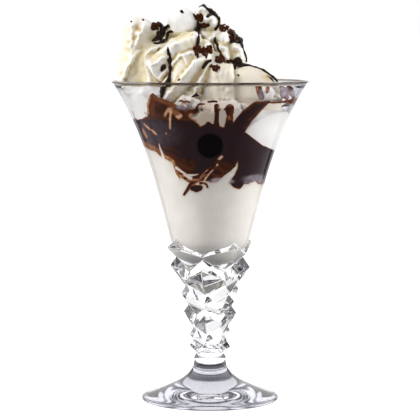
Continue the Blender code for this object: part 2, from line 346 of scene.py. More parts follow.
class Wiring:
    """Short ways to add and link the nodes of a material or of the world."""

    def __init__(self, owner):
        owner.use_nodes = True
        self.nodes, self.links = owner.node_tree.nodes, owner.node_tree.links

    def node(self, kind, **settings):
        made = self.nodes.new("ShaderNode" + kind)
        for key, value in settings.items():
            setattr(made, key, value)
        return made

    def feed(self, socket, value):
        """Links the socket to a node's output, or gives it a number or a colour."""
        if isinstance(value, bpy.types.NodeSocket):
            self.links.new(value, socket)
        else:
            socket.default_value = (*value, 1) if isinstance(value, tuple) else value

    def math(self, operation, *values):
        made = self.node("Math", operation=operation)
        for socket, value in zip(made.inputs, values):
            self.feed(socket, value)
        return made.outputs["Value"]

    def mixed(self, share, first, second, blend="MIX"):
        made = self.node("Mix", data_type="RGBA", blend_type=blend)
        for socket, value in (("Factor", share), ("A", first), ("B", second)):
            self.feed(made.inputs[socket], value)
        return made.outputs["Result"]

    def spread(self, value, low, high, before=0.0, after=1.0, easing="LINEAR"):
        """Goes from one output to another between two values."""
        made = self.node("MapRange", interpolation_type=easing)
        settings = {"From Min": low, "From Max": high, "To Min": before, "To Max": after, "Value": value}
        for socket, setting in settings.items():
            self.feed(made.inputs[socket], setting)
        return made.outputs["Result"]


class Surface(Wiring):
    """A Principled material."""

    def __init__(self, name, roughness=0.5, **sockets):
        self.material = bpy.data.materials.new(name)
        super().__init__(self.material)
        self.shader = self.nodes["Principled BSDF"]
        self.shader.inputs["Roughness"].default_value = roughness
        for socket, value in sockets.items():
            self.feed(self.shader.inputs[socket.replace("_", " ")], value)

    def lumps(self, size, detail=2.0, roughness=0.5):
        """Noise in lumps of about that size in mm."""
        place = self.node("TexCoord")
        made = self.node("TexNoise")
        made.inputs["Scale"].default_value = 1 / (size * MM)
        made.inputs["Detail"].default_value = detail
        made.inputs["Roughness"].default_value = roughness
        self.links.new(place.outputs["Object"], made.inputs["Vector"])
        return made.outputs["Fac"]

    def ramp(self, value, stops):
        made = self.node("ValToRGB")
        points = made.color_ramp.elements
        while len(points) < len(stops):
            points.new(0.5)
        for point, (position, colour) in zip(points, stops):
            point.position = position
            point.color = (*colour, 1)
        self.feed(made.inputs["Fac"], value)
        return made.outputs["Color"]

    def attribute(self, name):
        return self.node("Attribute", attribute_name=name).outputs["Fac"]

    def colour(self, value):
        self.feed(self.shader.inputs["Base Color"], value)

    def rough(self, value, low, high):
        self.feed(self.shader.inputs["Roughness"], self.spread(value, 0.0, 1.0, low, high))

    def bumps(self, *layers):
        """Relief from (height output, depth in mm), one on the other."""
        below = None
        for height, depth in layers:
            made = self.node("Bump")
            made.inputs["Distance"].default_value = depth * MM
            self.feed(made.inputs["Height"], height)
            if below is not None:
                self.feed(made.inputs["Normal"], below)
            below = made.outputs["Normal"]
        self.feed(self.shader.inputs["Normal"], below)


def glass_surface():
    """Clear glass, with painted shade: dark brown just under the rim, and grey lavender over the foot and
    the foot of the stem.
    """
    made = Surface("clear_glass", 0.0, Transmission_Weight=1.0, IOR=1.5)
    clear = made.ramp(made.lumps(40, 1), ((0.4, (0.98, 0.98, 0.995)), (0.6, (0.965, 0.968, 0.99))))
    # Painted shade: dark brown just under the rim.
    clear = made.mixed(made.attribute("lip"), clear, (0.16, 0.13, 0.11))
    # Painted shade: grey lavender over the foot.
    made.colour(made.mixed(made.attribute("foot"), clear, (0.70, 0.70, 0.77)))
    return made.material


def ice_cream_surface(name, light, shade):
    """Ice cream: fine icy grain, faint mottling, brown where sauce has run thin over it, and on the lumps
    at the glass brown that is partly painted shade.
    """
    made = Surface(name, 0.45, Specular_IOR_Level=0.35)
    mottle = made.ramp(made.lumps(9, 3), ((0.3, shade), (0.7, light)))
    stain_and_shade = made.spread(made.attribute("stain"), 0.0, 1.0)
    made.colour(made.mixed(stain_and_shade, mottle, (0.50, 0.29, 0.10)))
    made.rough(made.lumps(3), 0.35, 0.6)
    made.bumps((made.lumps(1.6, 3, 0.6), 0.12), (made.lumps(0.5, 2), 0.05))
    return made.material


def cream_surface():
    """Whipped cream: painted highlights on its crests, painted shade in its grooves and on faces turned
    from the light, and painted warm yellow shade deep in its folds.
    """
    made = Surface("whipped_cream", 0.55, Specular_IOR_Level=0.3)
    tones = (
        (0.0, (0.92, 0.91, 0.89)),
        (0.14, (0.87, 0.85, 0.80)),
        (0.3, (0.80, 0.76, 0.66)),
        (0.5, (0.74, 0.66, 0.49)),
        (0.72, (0.56, 0.44, 0.25)),
        (1.0, (0.30, 0.20, 0.10)),
    )
    # Painted shade: darker and browner the deeper a point lies in a groove, lightest on crests.
    folds = made.ramp(made.spread(made.attribute("hollow"), -0.45, 0.95), tones)
    mottle = made.ramp(made.lumps(6, 3), ((0.35, (0.94, 0.93, 0.90)), (0.65, (1, 1, 1))))
    # Painted warm shade: yellow deep in the folds.
    folds = made.mixed(made.attribute("painted_warm_shade"), folds, (0.86, 0.77, 0.54))
    made.colour(made.mixed(1.0, folds, mottle, "MULTIPLY"))
    made.rough(made.lumps(2), 0.45, 0.65)
    made.bumps((made.lumps(1.3, 3, 0.6), 0.12), (made.lumps(0.45, 2), 0.05))
    return made.material


def sauce_surface():
    """Chocolate sauce, near black where thick, brown where thin, milky grey lavender under a veil that is
    partly melted ice cream and partly a painted reflection of glare in the glass.
    """
    made = Surface("chocolate_sauce", 0.2, Specular_IOR_Level=0.12)
    tones = (
        (0.0, (0.029, 0.016, 0.021)),
        (0.2, (0.030, 0.014, 0.012)),
        (0.4, (0.060, 0.019, 0.010)),
        (0.6, (0.115, 0.034, 0.014)),
        (0.78, (0.27, 0.11, 0.045)),
        (0.9, (0.60, 0.38, 0.24)),
        (1.0, (0.78, 0.68, 0.60)),
    )
    sauce = made.ramp(made.attribute("thin"), tones)
    # Partly painted reflection: the veil turns the sauce grey lavender like glare in the glass.
    made.colour(made.mixed(made.attribute("veil_and_glare"), sauce, (0.62, 0.57, 0.64)))
    made.rough(made.lumps(5), 0.12, 0.28)
    made.bumps((made.lumps(4, 2), 0.08))
    return made.material


def chocolate_surface(name, dark, light, low, high, grain_size, depth, shine=0.3):
    """Chocolate from dark to light, its roughness from low to high, with a grain that deep in mm."""
    made = Surface(name, 0.4, Specular_IOR_Level=shine)
    made.colour(made.ramp(made.lumps(grain_size, 3), ((0.3, dark), (0.7, light))))
    made.rough(made.lumps(1.2), low, high)
    made.bumps((made.lumps(grain_size * 0.4, 3, 0.65), depth))
    return made.material


def cherry_surface():
    made = Surface("dark_cherry", 0.3, Specular_IOR_Level=0.3)
    stops = ((0.3, (0.0015, 0.001, 0.001)), (0.7, (0.004, 0.0015, 0.002)))
    made.colour(made.ramp(made.lumps(4), stops))
    made.rough(made.lumps(3), 0.25, 0.4)
    made.bumps((made.lumps(2), 0.05))
    return made.material


# ---------------------------------------------------------------- glass


def revolved(profile, columns):
    radii, heights = np.array(profile).T
    return on_circle(turns(columns)[None, :], radii[:, None], heights[:, None])


def wall_points(radius, heights):
    """The profile of a wall whose radius depends on its height."""
    return [(float(radius(z)), float(z)) for z in heights]


def wall_profile():
    """The round parts' profile: foot, core of the stem, bowl, rim, cavity and its floor."""
    rim_z = GLASS_HEIGHT - 1.6
    middle, top = RIM_RADIUS - WALL / 2, GLASS_HEIGHT - RIM_ROUND
    rim = [
        (middle + RIM_ROUND * math.cos(a), top + RIM_ROUND * math.sin(a)) for a in np.linspace(0.2, 2.9, 12)
    ]
    floor = BOWL_FOOT_Z - np.linspace(0.04, 1, 16) * 0.999 * (BOWL_FOOT_Z - CAVITY_FLOOR_Z)
    return [
        *FOOT_PROFILE,
        *CORE_PROFILE,
        *wall_points(bowl_radius, np.linspace(97, rim_z, 60)),
        *rim,
        *wall_points(cavity_radius, np.linspace(rim_z - 0.6, BOWL_FOOT_Z, 60)),
        *wall_points(cavity_radius, floor),
    ]


def zigzag(corner, side, turned=0):
    """A ring that goes from corner to side and back, each given as radius and height."""
    ring = []
    for i in range(SIDES):
        radius, z = corner if (i + turned) % 2 == 0 else side
        ring.append(on_circle(FIRST_CORNER + i * math.tau / SIDES, radius, z))
    return np.array(ring)


def tier_rings():
    """The cut tiers of the stem: for each a girdle and the edge of the shoulder above it."""
    rings = []
    for level in reversed(range(len(TIERS))):
        z, radius = TIERS[level]
        side = (SIDE_SHARE * radius, z - SIDE_DROP * radius)
        shoulder = ((1 - SHOULDER_INSET) * radius, z + SHOULDER_RISE * radius)
        shoulder_side = (SIDE_SHARE * shoulder[0], side[1] + (SHOULDER_RISE - 0.02) * radius)
        if level == 0:
            side = (SIDE_SHARE * radius, TOP_SIDE_Z)
            shoulder = (float(bowl_radius(TOP_SHOULDER_Z)) - 0.3, TOP_SHOULDER_Z)
            shoulder_side = (float(bowl_radius(TOP_SHOULDER_SIDE_Z)) - 0.3, TOP_SHOULDER_SIDE_Z)
        rings += [zigzag((radius, z), side, level % 2), zigzag(shoulder, shoulder_side, level % 2)]
    return rings


def make_cut_stem(surface):
    """The tiers with polished edges. It ends in a cup under the cavity, inside the glass."""
    rings = [zigzag(STEM_FOOT, STEM_FOOT), *tier_rings()]
    for z in CUP_HEIGHTS:
        place = (float(cavity_radius(z)) + CUP_INTO_WALL, z)
        rings.append(zigzag(place, place))
    points, faces = skin(np.array(rings), [0, 0, STEM_FOOT[1]], [0, 0, CUP_TIP_Z])
    cut = outward(new_object("cut_stem", points, faces, surface))
    cut.data.shade_flat()
    edge = cut.modifiers.new("edges", "BEVEL")
    edge.width = CUT_EDGE * MM
    edge.segments = 2
    edge.limit_method = "ANGLE"
    edge.angle_limit = math.radians(12)
    return applied(cut)


def make_glass(surface):
    """The round body of revolution with the cut stem joined on in one closed skin."""
    rings = revolved(wall_profile(), ROUND_COLUMNS)
    points, faces = skin(rings, [0, 0, FOOT_DOME_Z], [0, 0, CAVITY_FLOOR_Z])
    body = outward(new_object("sundae_glass", points, faces, surface))
    body.visible_shadow = False
    cut = make_cut_stem(surface)
    union = body.modifiers.new("stem", "BOOLEAN")
    union.operation = "UNION"
    union.solver = "EXACT"
    union.object = cut
    applied(body)
    bpy.data.objects.remove(cut)
    height = points_of(body)[:, 2]
    # Painted shade under the rim and on the foot, which the glass material reads.
    mark(body, "lip", smoothstep(*(GLASS_HEIGHT - depth for depth in LIP_PAINTED_SHADE_DEPTHS), height))
    mark(body, "foot", 1 - smoothstep(*FOOT_PAINTED_SHADE_HEIGHTS, height))
    return body


# ---------------------------------------------------------------- what is seen at the wall


def arc_points(pairs):
    """(azimuth in degrees, height) at the inner wall as (arc length, height) in mm."""
    p = np.asarray(pairs, float)
    return np.stack([np.radians(p[..., 0]) * cavity_radius(p[..., 1]), p[..., 1]], axis=-1)


def stroke_depth(place, knots):
    """How deep each place lies inside a brush stroke through its knots, below 0 outside it."""
    knots = np.asarray(knots, float)
    line, radii = arc_points(knots[:, :2]), knots[:, 2]
    best = np.full(place.shape[:-1], -1e3)
    for a, b, ra, rb in zip(line, line[1:], radii, radii[1:]):
        along = b - a
        t = np.clip(((place - a) @ along) / max(along @ along, 1e-9), 0, 1)
        away = np.linalg.norm(place - a - t[..., None] * along, axis=-1)
        best = np.maximum(best, ra + (rb - ra) * t - away)
    return best


def follow(azimuth, knots):
    """A height that runs through (azimuth in degrees, height) knots all the way round."""
    knots = np.array(knots, float)
    return np.interp(azimuth, knots[:, 0], knots[:, 1], period=360)


# Where the sauce ends at the glass: (azimuth in degrees, height in mm).
SAUCE_FOOT = (
    (-178, 133), (-150, 143), (-120, 152), (-83, 155.8), (-56, 152.4), (-49, 149), (-38, 146.6),
    (-36.4, 140), (-33.5, 137.4), (-29.5, 137.2), (-23.5, 135.2), (-15, 135), (-9, 136),
    (2, 135.4), (12, 135.2), (20.7, 134.4), (24.6, 132.4), (30, 131), (35, 130.9), (38, 133),
    (50, 134.2), (56, 134.6), (63, 132.6), (70, 132), (78, 133), (95, 130.6), (140, 131),
)
SAUCE_BRIM = (
    (-178, 171.3), (-100, 171.7), (-65, 171.8), (-55.6, 172.9), (-51, 174), (-48.4, 178),
    (-46.8, 181), (-41.2, 186.2), (-37.2, 188), (-34.4, 185.8), (-29.4, 184.6), (-26, 183.4),
    (-21.6, 180.6), (-15.5, 176.4), (-12.5, 173.4), (-9.8, 172), (-6.7, 168.8), (-1.3, 171.6),
    (2, 169.8), (10, 168.6), (26, 167.6), (45, 168), (100, 171),
)
# Tongues, drips and tails of sauce: azimuth, height and the stroke's half width at each knot.
BAND = ((22, 167.5, 4.8), (27, 174.4, 4.4), (33, 179.6, 3.8), (41.8, 183.0, 0.7))
WEDGE = (
    (43, 182.4, 0.5), (52, 182.4, 0.5), (62, 182.8, 1.0), (74, 182.8, 2.0), (90, 181, 3.0),
    (112, 177, 0.4),
)
SAUCE_STROKES = (
    BAND,
    WEDGE,
    ((4.9, 167, 1.9), (4.7, 176, 1.2), (4.4, 180.6, 1.6)),
    ((6.2, 178.7, 0.7), (6.9, 178.6, 0.5)),
    ((14.2, 166, 3.0), (14.3, 175, 1.9), (13.2, 179.4, 2.6)),
    ((10.2, 178.9, 0.8), (11.4, 179.2, 1.2)),
    ((-30.5, 127.4, 0.8), (-21.6, 133, 1.3), (-9.9, 138.6, 1.8), (-2, 143, 2.4)),
    ((-19.3, 131.4, 1.7), (-15, 131.3, 2.3), (-11.2, 131.8, 1.9)),
    ((-10, 134.6, 0.9), (-6.6, 134.8, 0.6), (-3.6, 133.8, 0.6), (-2.6, 132, 0.5)),
    ((-14.6, 176.6, 2.0), (-11.4, 177.4, 1.8), (-9.2, 178.2, 1.3)),
    ((-9.4, 178, 0.9), (-8.6, 180.4, 0.6), (-6.8, 182.0, 0.5), (-3.4, 182.0, 0.35)),
    ((-5.7, 178.8, 0.6), (-5.3, 178.6, 0.6)),
    ((-1.2, 183.2, 0.5), (2, 183.6, 0.7), (4.5, 183.4, 0.5)),
    ((-11.3, 186.2, 0.35), (-9.2, 187.0, 0.9), (-7.2, 186.9, 0.5)),
    ((-8.6, 187, 0.8), (-8.1, 188.4, 0.4)),
    ((-20.4, 183.4, 0.4), (-18.6, 184, 0.5), (-16.9, 182.9, 0.6), (-15, 183.6, 0.5), (-13, 182.8, 0.4)),
    ((-22.4, 180.2, 0.8), (-19, 180, 1.0), (-16.6, 179.2, 0.9), (-14.6, 181, 0.5)),
    ((29.4, 192.2, 1.8), (31.4, 189, 2.1), (34.4, 185.6, 1.8)),
    ((36.6, 191, 1.3), (37.2, 188.8, 0.8)),
    ((47, 191.4, 1.2), (53, 188, 3.4), (60, 184.8, 1.2)),
    ((54, 191.4, 1.2), (60, 188.8, 2.4), (70, 185, 0.8)),
)
# White fingers of ice cream in the sauce.
WHITE_STROKES = (
    ((-48.5, 157.6, 0.3), (-48.8, 154.6, 0.6), (-47.8, 152, 0.9), (-48.9, 147.6, 1.8)),
    ((26.5, 147.2, 0.2), (26.2, 144, 0.8), (22.7, 140.6, 1.7), (17.3, 137, 2.6), (13, 133.8, 3.0)),
    ((-34.6, 143.6, 1.0), (-29, 141.2, 0.6), (-23.7, 139.4, 0.55), (-18.2, 139.3, 0.6), (-12, 139.9, 0.3)),
    ((-27, 139.4, 0.6), (-20, 137.4, 1.0)),
)
# Tones brushed over the sauce: how thin it is, from 0, near black, through brown at 0.6 and tan
# at 0.9, to 1 where ice cream shows, and the stroke's knots.
TONES = (
    (0.12, (22.8, 172.6, 2.0), (28, 176.4, 1.7), (33, 179.2, 1.1), (38, 181.4, 0.4)),
    (0.68, (20.4, 176, 0.5), (24.4, 180.8, 0.6), (30, 183.4, 0.9), (38, 183.4, 0.4)),
    (0.6, (27, 167.4, 0.5), (31.4, 170, 0.5), (35, 174.6, 0.5)),
    (0.3, (4.6, 168, 0.9), (4.4, 180, 0.8)),
    (0.62, (3.4, 180.4, 0.6), (4.4, 181.6, 0.7)),
    (0.95, (5.4, 179.8, 0.5), (6.2, 180.8, 0.5)),
    (0.3, (12, 178.6, 0.9), (12.6, 176.6, 0.8)),
    (0.84, (13.6, 174.4, 0.6), (13.8, 173.2, 0.7)),
    (0.8, (12.4, 181.4, 0.7), (14.2, 181.2, 0.6)),
    (0.92, (-13.6, 175.2, 1.1), (-10.6, 173, 1.2), (-8.2, 170.8, 0.9), (-7.2, 169, 0.5)),
    (0.86, (-23.4, 176.4, 1.3), (-21.8, 174.8, 1.4)),
    (0.25, (-9.4, 177.6, 0.7), (-9, 179.4, 0.5)),
    (0.9, (-48.6, 176, 0.9), (-47, 180, 1.0), (-41.6, 185, 0.7)),
    (0.64, (-44, 176, 1.6), (-42.4, 180, 1.5), (-38.6, 184.4, 1.2)),
    (0.74, (-37, 185.8, 1.0), (-33, 183.6, 1.1), (-28.8, 182.6, 1.1), (-25, 181, 1.1), (-22.4, 179.4, 0.7)),
    (0.94, (-33.4, 175, 0.6), (-31.4, 177, 0.9), (-29, 178.4, 1.3), (-27, 178.4, 1.1)),
    (0.84, (-27.4, 178.4, 0.7), (-25.2, 177.2, 1.0), (-23.4, 175.2, 1.5), (-21.4, 175, 1.1)),
    (0.97, (-24, 174.2, 0.6), (-22.8, 173.8, 0.9), (-21, 174.6, 0.6)),
    (0.96, (-27.8, 178, 0.8), (-29.9, 173, 0.7), (-31, 169.8, 0.75), (-32.2, 167, 0.55)),
    (0.95, (-59.4, 169.4, 0.6), (-56.6, 167.6, 0.8), (-54, 166.3, 0.6)),
    (0.93, (-52.2, 165.9, 0.6), (-49.6, 164.4, 0.9), (-47.4, 163.4, 0.6)),
    (0.88, (-66, 165.2, 1.2), (-65, 163.4, 1.7), (-64, 161.8, 1.2)),
    (0.95, (-37.3, 164.3, 0.5), (-37, 164, 0.5)),
    (0.8, (-84, 157.4, 1.7), (-70, 155.6, 1.9), (-58, 154.2, 1.9), (-50, 151.6, 2.0)),
    (0.36, (-47, 155.4, 0.5), (-42, 155.6, 1.0), (-36, 155, 0.8), (-28, 152.8, 0.5)),
    (0.42, (-45.6, 152.6, 0.7), (-38, 151.6, 1.2), (-32, 149.4, 0.9)),
    (0.46, (-40, 149.6, 0.6), (-33, 146.6, 1.1), (-26, 144.6, 1.2), (-18, 142.4, 0.8)),
    (0.86, (-47.4, 150.6, 1.1), (-42, 148.6, 1.5), (-37.4, 146.6, 1.3), (-36.4, 143, 1.1)),
    (0.86, (-36, 141, 0.9), (-33, 138.8, 1.1), (-29, 138.2, 0.9)),
    (0.86, (-24, 136.6, 0.5), (-17, 136.4, 0.8), (-12, 136.8, 0.5)),
    (1.0, (10.3, 150.4, 0.9), (8, 149, 0.7), (6.6, 145, 0.5), (0.2, 141, 0.45), (-3.9, 137.8, 0.5),
        (-6.6, 135.6, 0.5)),
    (0.95, (0.4, 144.2, 0.3), (-6.6, 140.4, 0.4), (-10, 137.8, 0.4)),
    (0.82, (-4.6, 139.8, 0.5), (-9, 137.6, 0.6), (-14, 135.2, 0.6), (-19.4, 133, 0.4)),
    (0.42, (5, 148, 0.5), (12, 146.6, 1.0), (18, 144.6, 0.9), (24, 144.8, 0.4)),
    (0.5, (4, 143.6, 0.6), (10, 143.4, 1.1), (14, 141, 1.0), (19, 141.4, 0.5)),
    (0.62, (2.4, 140, 0.6), (7, 138.6, 1.2), (12, 138.6, 0.8)),
    (0.72, (-20, 183.8, 0.6), (-13, 183.2, 0.6)),
    (0.3, (-22, 180.2, 0.8), (-15, 180, 0.8)),
    (0.5, (-1.4, 183.2, 0.6), (4.6, 183.4, 0.5)),
    (0.1, (-11, 186.4, 0.9), (-7.6, 187.4, 1.2)),
    (0.84, (28.4, 192.2, 1.0), (29.8, 189, 1.1), (31.6, 186.6, 0.9)),
    (0.4, (31.6, 191.4, 1.1), (33, 188, 1.2), (35.4, 185.4, 1.1)),
    (0.87, (36.6, 191, 1.3), (37.2, 188.8, 0.9)),
    (0.6, (-21, 180.6, 0.8), (-17, 179.8, 1.3), (-14.4, 180, 0.8)),
)
# Places where the sauce has mixed with ice cream: middle, half size in mm, and thinness.
MIXED = (
    ((-26, 145.5), (13, 6.5), 0.34),
    ((15, 143.5), (7.5, 6.0), 0.36),
    ((-72, 158), (9, 3.5), 0.3),
    ((8, 137), (6, 2.4), 0.6),
)
# Where a veil of melted ice cream lies over the sauce, and where glare in the glass is painted over it as a
# painted reflection: middle, half size, and how thick.
VEILS_AND_GLARE = (
    ((-55, 164), (30, 12), 0.06),
    ((55, 136.6), (14, 3.2), 0.34),
    ((70, 134.4), (8, 2.2), 0.4),
    ((46, 134.6), (6, 1.8), 0.34),
    ((8, 136), (6, 2.4), 0.55),
    ((21, 135.4), (4, 1.6), 0.45),
    # Painted reflection: these two patches are glare in the glass.
    ((50, 188.5), (9, 4.5), 0.74),
    ((62, 187), (10, 4), 0.64),
    ((33.4, 187.6), (3, 5), 0.4),
    ((-18.5, 180.4), (5.5, 2.6), 0.6),
)
# Corners of the side scoop's face on the glass.
SCOOP_FACE = (
    (26.1, 166.2), (32.4, 171.4), (37.6, 176.4), (41, 181), (62, 181.6), (96, 179), (100, 166),
    (92, 152), (72, 153.4), (51, 156.6), (42.9, 159.4), (32.6, 163.4),
)


def widest(knots):
    return max(width for _, _, width in knots)


def face_depth(place, corners):
    """How deep each place lies inside a convex face, below 0 outside it."""
    corners = arc_points(corners)
    middle = corners.mean(axis=0)
    depth = np.full(place.shape[:-1], 1e3)
    for a, b in zip(corners, np.roll(corners, -1, axis=0)):
        normal = np.array([b[1] - a[1], a[0] - b[0]])
        normal /= np.linalg.norm(normal)
        if (middle - a) @ normal < 0:
            normal = -normal
        depth = np.minimum(depth, (place - a) @ normal)
    return depth


def sauce_depth(azimuth, z):
    """How deep each place on the wall lies inside the sauce seen there, in mm."""
    place, wall = at_wall(azimuth, z)
    wobble = 0.7 * grain(wall, 5, 2, 1) + 0.5 * grain(wall, 1.7, 2, 2)
    depth = np.minimum(z - follow(azimuth, SAUCE_FOOT), follow(azimuth, SAUCE_BRIM) - z) * 0.8
    depth = depth + wobble * 0.7
    for knots in SAUCE_STROKES:
        ragged = 0.3 * min(1, widest(knots) - 0.3)
        depth = np.maximum(depth, stroke_depth(place, knots) + ragged * wobble)
    depth = np.minimum(depth, -face_depth(place, SCOOP_FACE) - 0.3 * wobble)
    for knots in (BAND, WEDGE):
        depth = np.maximum(depth, stroke_depth(place, knots) + 0.2 * wobble)
    for knots in WHITE_STROKES:
        depth = np.minimum(depth, -stroke_depth(place, knots) - 0.15 * wobble)
    return depth


def at_wall(azimuth, z):
    """Places on the unrolled wall, and the same places in space."""
    radius = cavity_radius(z)
    turn = np.radians(azimuth)
    return np.stack([turn * radius, z], axis=-1), on_circle(turn, radius, z)


def patch_share(place, middle, size):
    """1 in the middle of an oval patch of the unrolled wall, easing to 0 at its edge."""
    away = place - arc_points([middle])[0]
    return 1 - smoothstep(0.4, 1.0, np.hypot(away[..., 0] / size[0], away[..., 1] / size[1]))


def sauce_thinness(azimuth, z, depth):
    """0 where the sauce is thick, towards 1 where it is a thin film or mixed with ice cream."""
    place, wall = at_wall(azimuth, z)
    patches = 0.5 + 0.5 * grain(wall, 6, 3, 4)
    streaks = 0.5 + 0.5 * grain(wall, 2.2, 3, 7)
    film = smoothstep(THICK_BELOW - 0.4, THICK_BELOW + 1.0, z + 0.7 * grain(wall, 6, 1, 5))
    thin = 0.16 * patches + film * (0.40 + 0.22 * patches - 0.05 * np.clip(depth, 0, 4))
    for middle, size, tone in MIXED:
        share = patch_share(place, middle, size)
        thin = np.maximum(thin, share * (tone + 0.3 * (streaks - 0.5) + 0.2 * (patches - 0.5)))
    edge = 1 - smoothstep(0.0, 1.1, depth)
    thin = np.maximum(thin, edge * (0.62 + 0.2 * patches))
    for tone, *knots in TONES:
        streak = stroke_depth(place, knots) + 0.35 * grain(wall, 1.6, 2, 6)
        share = smoothstep(-0.45 - 0.5 * widest(knots), 0.35, streak)
        thin = thin + share * (tone - 0.12 * (1 - streaks) * (tone > 0.5) - thin)
    return np.clip(thin, 0, 1)


def sauce_veil_and_glare(azimuth, z):
    """How thick the veil over the sauce is, from 0 to 1: melted ice cream, and in places a painted
    reflection.
    """
    place, wall = at_wall(azimuth, z)
    cloudy = 0.8 + 0.5 * grain(wall, 3, 3, 8)
    veil_and_glare = np.zeros(place.shape[:-1])
    for middle, size, share in VEILS_AND_GLARE:
        veil_and_glare = np.maximum(veil_and_glare, patch_share(place, middle, size) * share * cloudy)
    return np.clip(veil_and_glare, 0, 1)


def make_ice_cream_base(surface):
    """The vanilla ice cream that fills the bowl up to the scoops, pressed to the glass."""
    azimuths = np.linspace(-180, 180, 320, endpoint=False)
    floor = CAVITY_FLOOR_Z + np.linspace(0.06, 1, 14) ** 1.6 * (BOWL_FOOT_Z - CAVITY_FLOOR_Z)
    heights = np.concatenate([floor, np.linspace(BOWL_FOOT_Z + 1, BASE_TOP - 0.1, 112)])
    azimuth, z = np.meshgrid(azimuths, heights)
    radius = cavity_radius(z) + 0.5 * INTO_WALL
    side = on_circle(np.radians(azimuth), radius, z)
    lid = [on_circle(np.radians(azimuths), radius[-1] * s, BASE_TOP) for s in (0.97, 0.8, 0.4)]
    points, faces = skin(np.concatenate([side, lid]), [0, 0, CAVITY_FLOOR_Z - 0.1], [0, 0, BASE_TOP])
    made = outward(new_object("vanilla_ice_cream", points, faces, surface))
    to_sauce = np.where(z < SAUCE_LOWEST, 9, -sauce_depth(azimuth, np.maximum(z, SAUCE_LOWEST)))
    stain = 0.55 * (1 - smoothstep(0.0, 1.6, to_sauce)) * (0.5 + 0.5 * grain(side, 4, 2, 8))
    mark(made, "stain", np.concatenate([stain.ravel(), np.zeros(len(points) - stain.size)]))
    return made


def sauce_columns():
    """Azimuths in degrees, finer in front than at the back."""
    front = np.linspace(-95, 95, 306, endpoint=False)
    back = np.linspace(95, 265, 100, endpoint=False)
    return np.concatenate([front, back])


def make_sauce(surface):
    """Sauce at the glass: thick up to its level, a film, tongues and drips above it."""
    azimuth, z = np.meshgrid(sauce_columns(), np.arange(SAUCE_LOWEST - 1, SAUCE_HIGHEST, SAUCE_GRID))
    azimuth, z, depth, cells = cut_cells(azimuth, z, sauce_depth(azimuth, z))
    wall = cavity_radius(z) + INTO_WALL * 1.3
    outer = on_circle(np.radians(azimuth), wall, z)
    inner = on_circle(np.radians(azimuth), wall - FILM - smoothstep(0, 1.2, depth), z)
    pool = sauce_pool(len(sauce_columns()) // 2)
    made = joined("sauce_at_glass", [film_faces(outer, inner, cells), pool], surface)
    looks = {"thin": sauce_thinness(azimuth, z, depth), "veil_and_glare": sauce_veil_and_glare(azimuth, z)}
    for name, values in looks.items():
        mark(made, name, np.concatenate([values, values, np.zeros(len(pool[0]))]))
    drop_loose(made)
    return outward(made)


def cut_cells(azimuth, z, depth):
    """The grid as flat rows with its cells cut along the line where the depth is 0."""
    rows, columns = depth.shape
    azimuth, z, depth = azimuth.ravel(), z.ravel(), depth.ravel()
    wet = depth > 0
    crossed = {}
    cells = []
    for row in range(rows - 1):
        for column in range(columns):
            a, b = row * columns + column, row * columns + (column + 1) % columns
            corners = (a, b, b + columns, a + columns)
            if not wet[list(corners)].any():
                continue
            loop = []
            for here, after in zip(corners, corners[1:] + corners[:1]):
                if wet[here]:
                    loop.append(here)
                if wet[here] != wet[after]:
                    edge = (here, after) if wet[here] else (after, here)
                    loop.append(crossed.setdefault(edge, len(depth) + len(crossed)))
            cells.append(loop)
    wets, dries = np.array(list(crossed)).T
    t = depth[wets] / (depth[wets] - depth[dries])
    turn = (azimuth[dries] - azimuth[wets] + 180) % 360 - 180
    azimuth = np.concatenate([azimuth, azimuth[wets] + t * turn])
    z = np.concatenate([z, z[wets] + t * (z[dries] - z[wets])])
    return azimuth, z, np.concatenate([depth, np.zeros(len(t))]), cells


def film_faces(outer, inner, cells):
    """Both sides of the film over its cells, and the rim between them."""
    count = len(outer)
    faces = cells + [[count + p for p in reversed(loop)] for loop in cells]
    edges = {edge for loop in cells for edge in zip(loop, loop[1:] + loop[:1])}
    faces += [(q, p, count + p, count + q) for p, q in edges if (q, p) not in edges]
    return np.vstack([outer, inner]), faces


def sauce_pool(columns):
    """The sauce's own surface inside the glass, a slab with a slightly wavy top."""
    azimuths = turns(columns)
    edge = float(cavity_radius(SAUCE_LEVEL)) - 0.3
    rings = [on_circle(azimuths, edge * s, SAUCE_LEVEL - 3) for s in (0.4, 0.97)]
    for share in (1, 0.985, 0.95, 0.88, 0.8, 0.7, 0.6, 0.45, 0.3, 0.15):
        ring = on_circle(azimuths, edge * share, SAUCE_LEVEL - 0.2 + 0.6 * (share > 0.98))
        ring[:, 2] += 0.8 * grain(ring, 14, 2, 9) * (share < 0.98)
        rings.append(ring)
    return skin(np.array(rings), [0, 0, SAUCE_LEVEL - 3], [0, 0, SAUCE_LEVEL])


def drop_loose(made):
    """Removes the points that no face uses."""
    with edited(made) as edit:
        loose = [v for v in edit.verts if not v.link_faces]
        bmesh.ops.delete(edit, geom=loose, context="VERTS")


# ---------------------------------------------------------------- scoops, lumps and the cherry


def ball(centre, radii, rows, columns, relief):
    """Points and faces of an uneven ball, its relief given as (lump size, depth, seed)."""
    polar = np.linspace(0, math.pi, rows + 2)[1:-1]
    polar, turn = np.meshgrid(polar, turns(columns), indexing="ij")
    way = np.stack([np.sin(polar) * np.cos(turn), np.sin(polar) * np.sin(turn), -np.cos(polar)], -1)
    place = centre + way * radii
    swell = sum(depth * grain(place, size, 3, seed) for size, depth, seed in relief)
    place = place + way * swell[..., None]
    pole = np.array([0, 0, radii[2]], float)
    return skin(place, centre - pole, centre + pole)


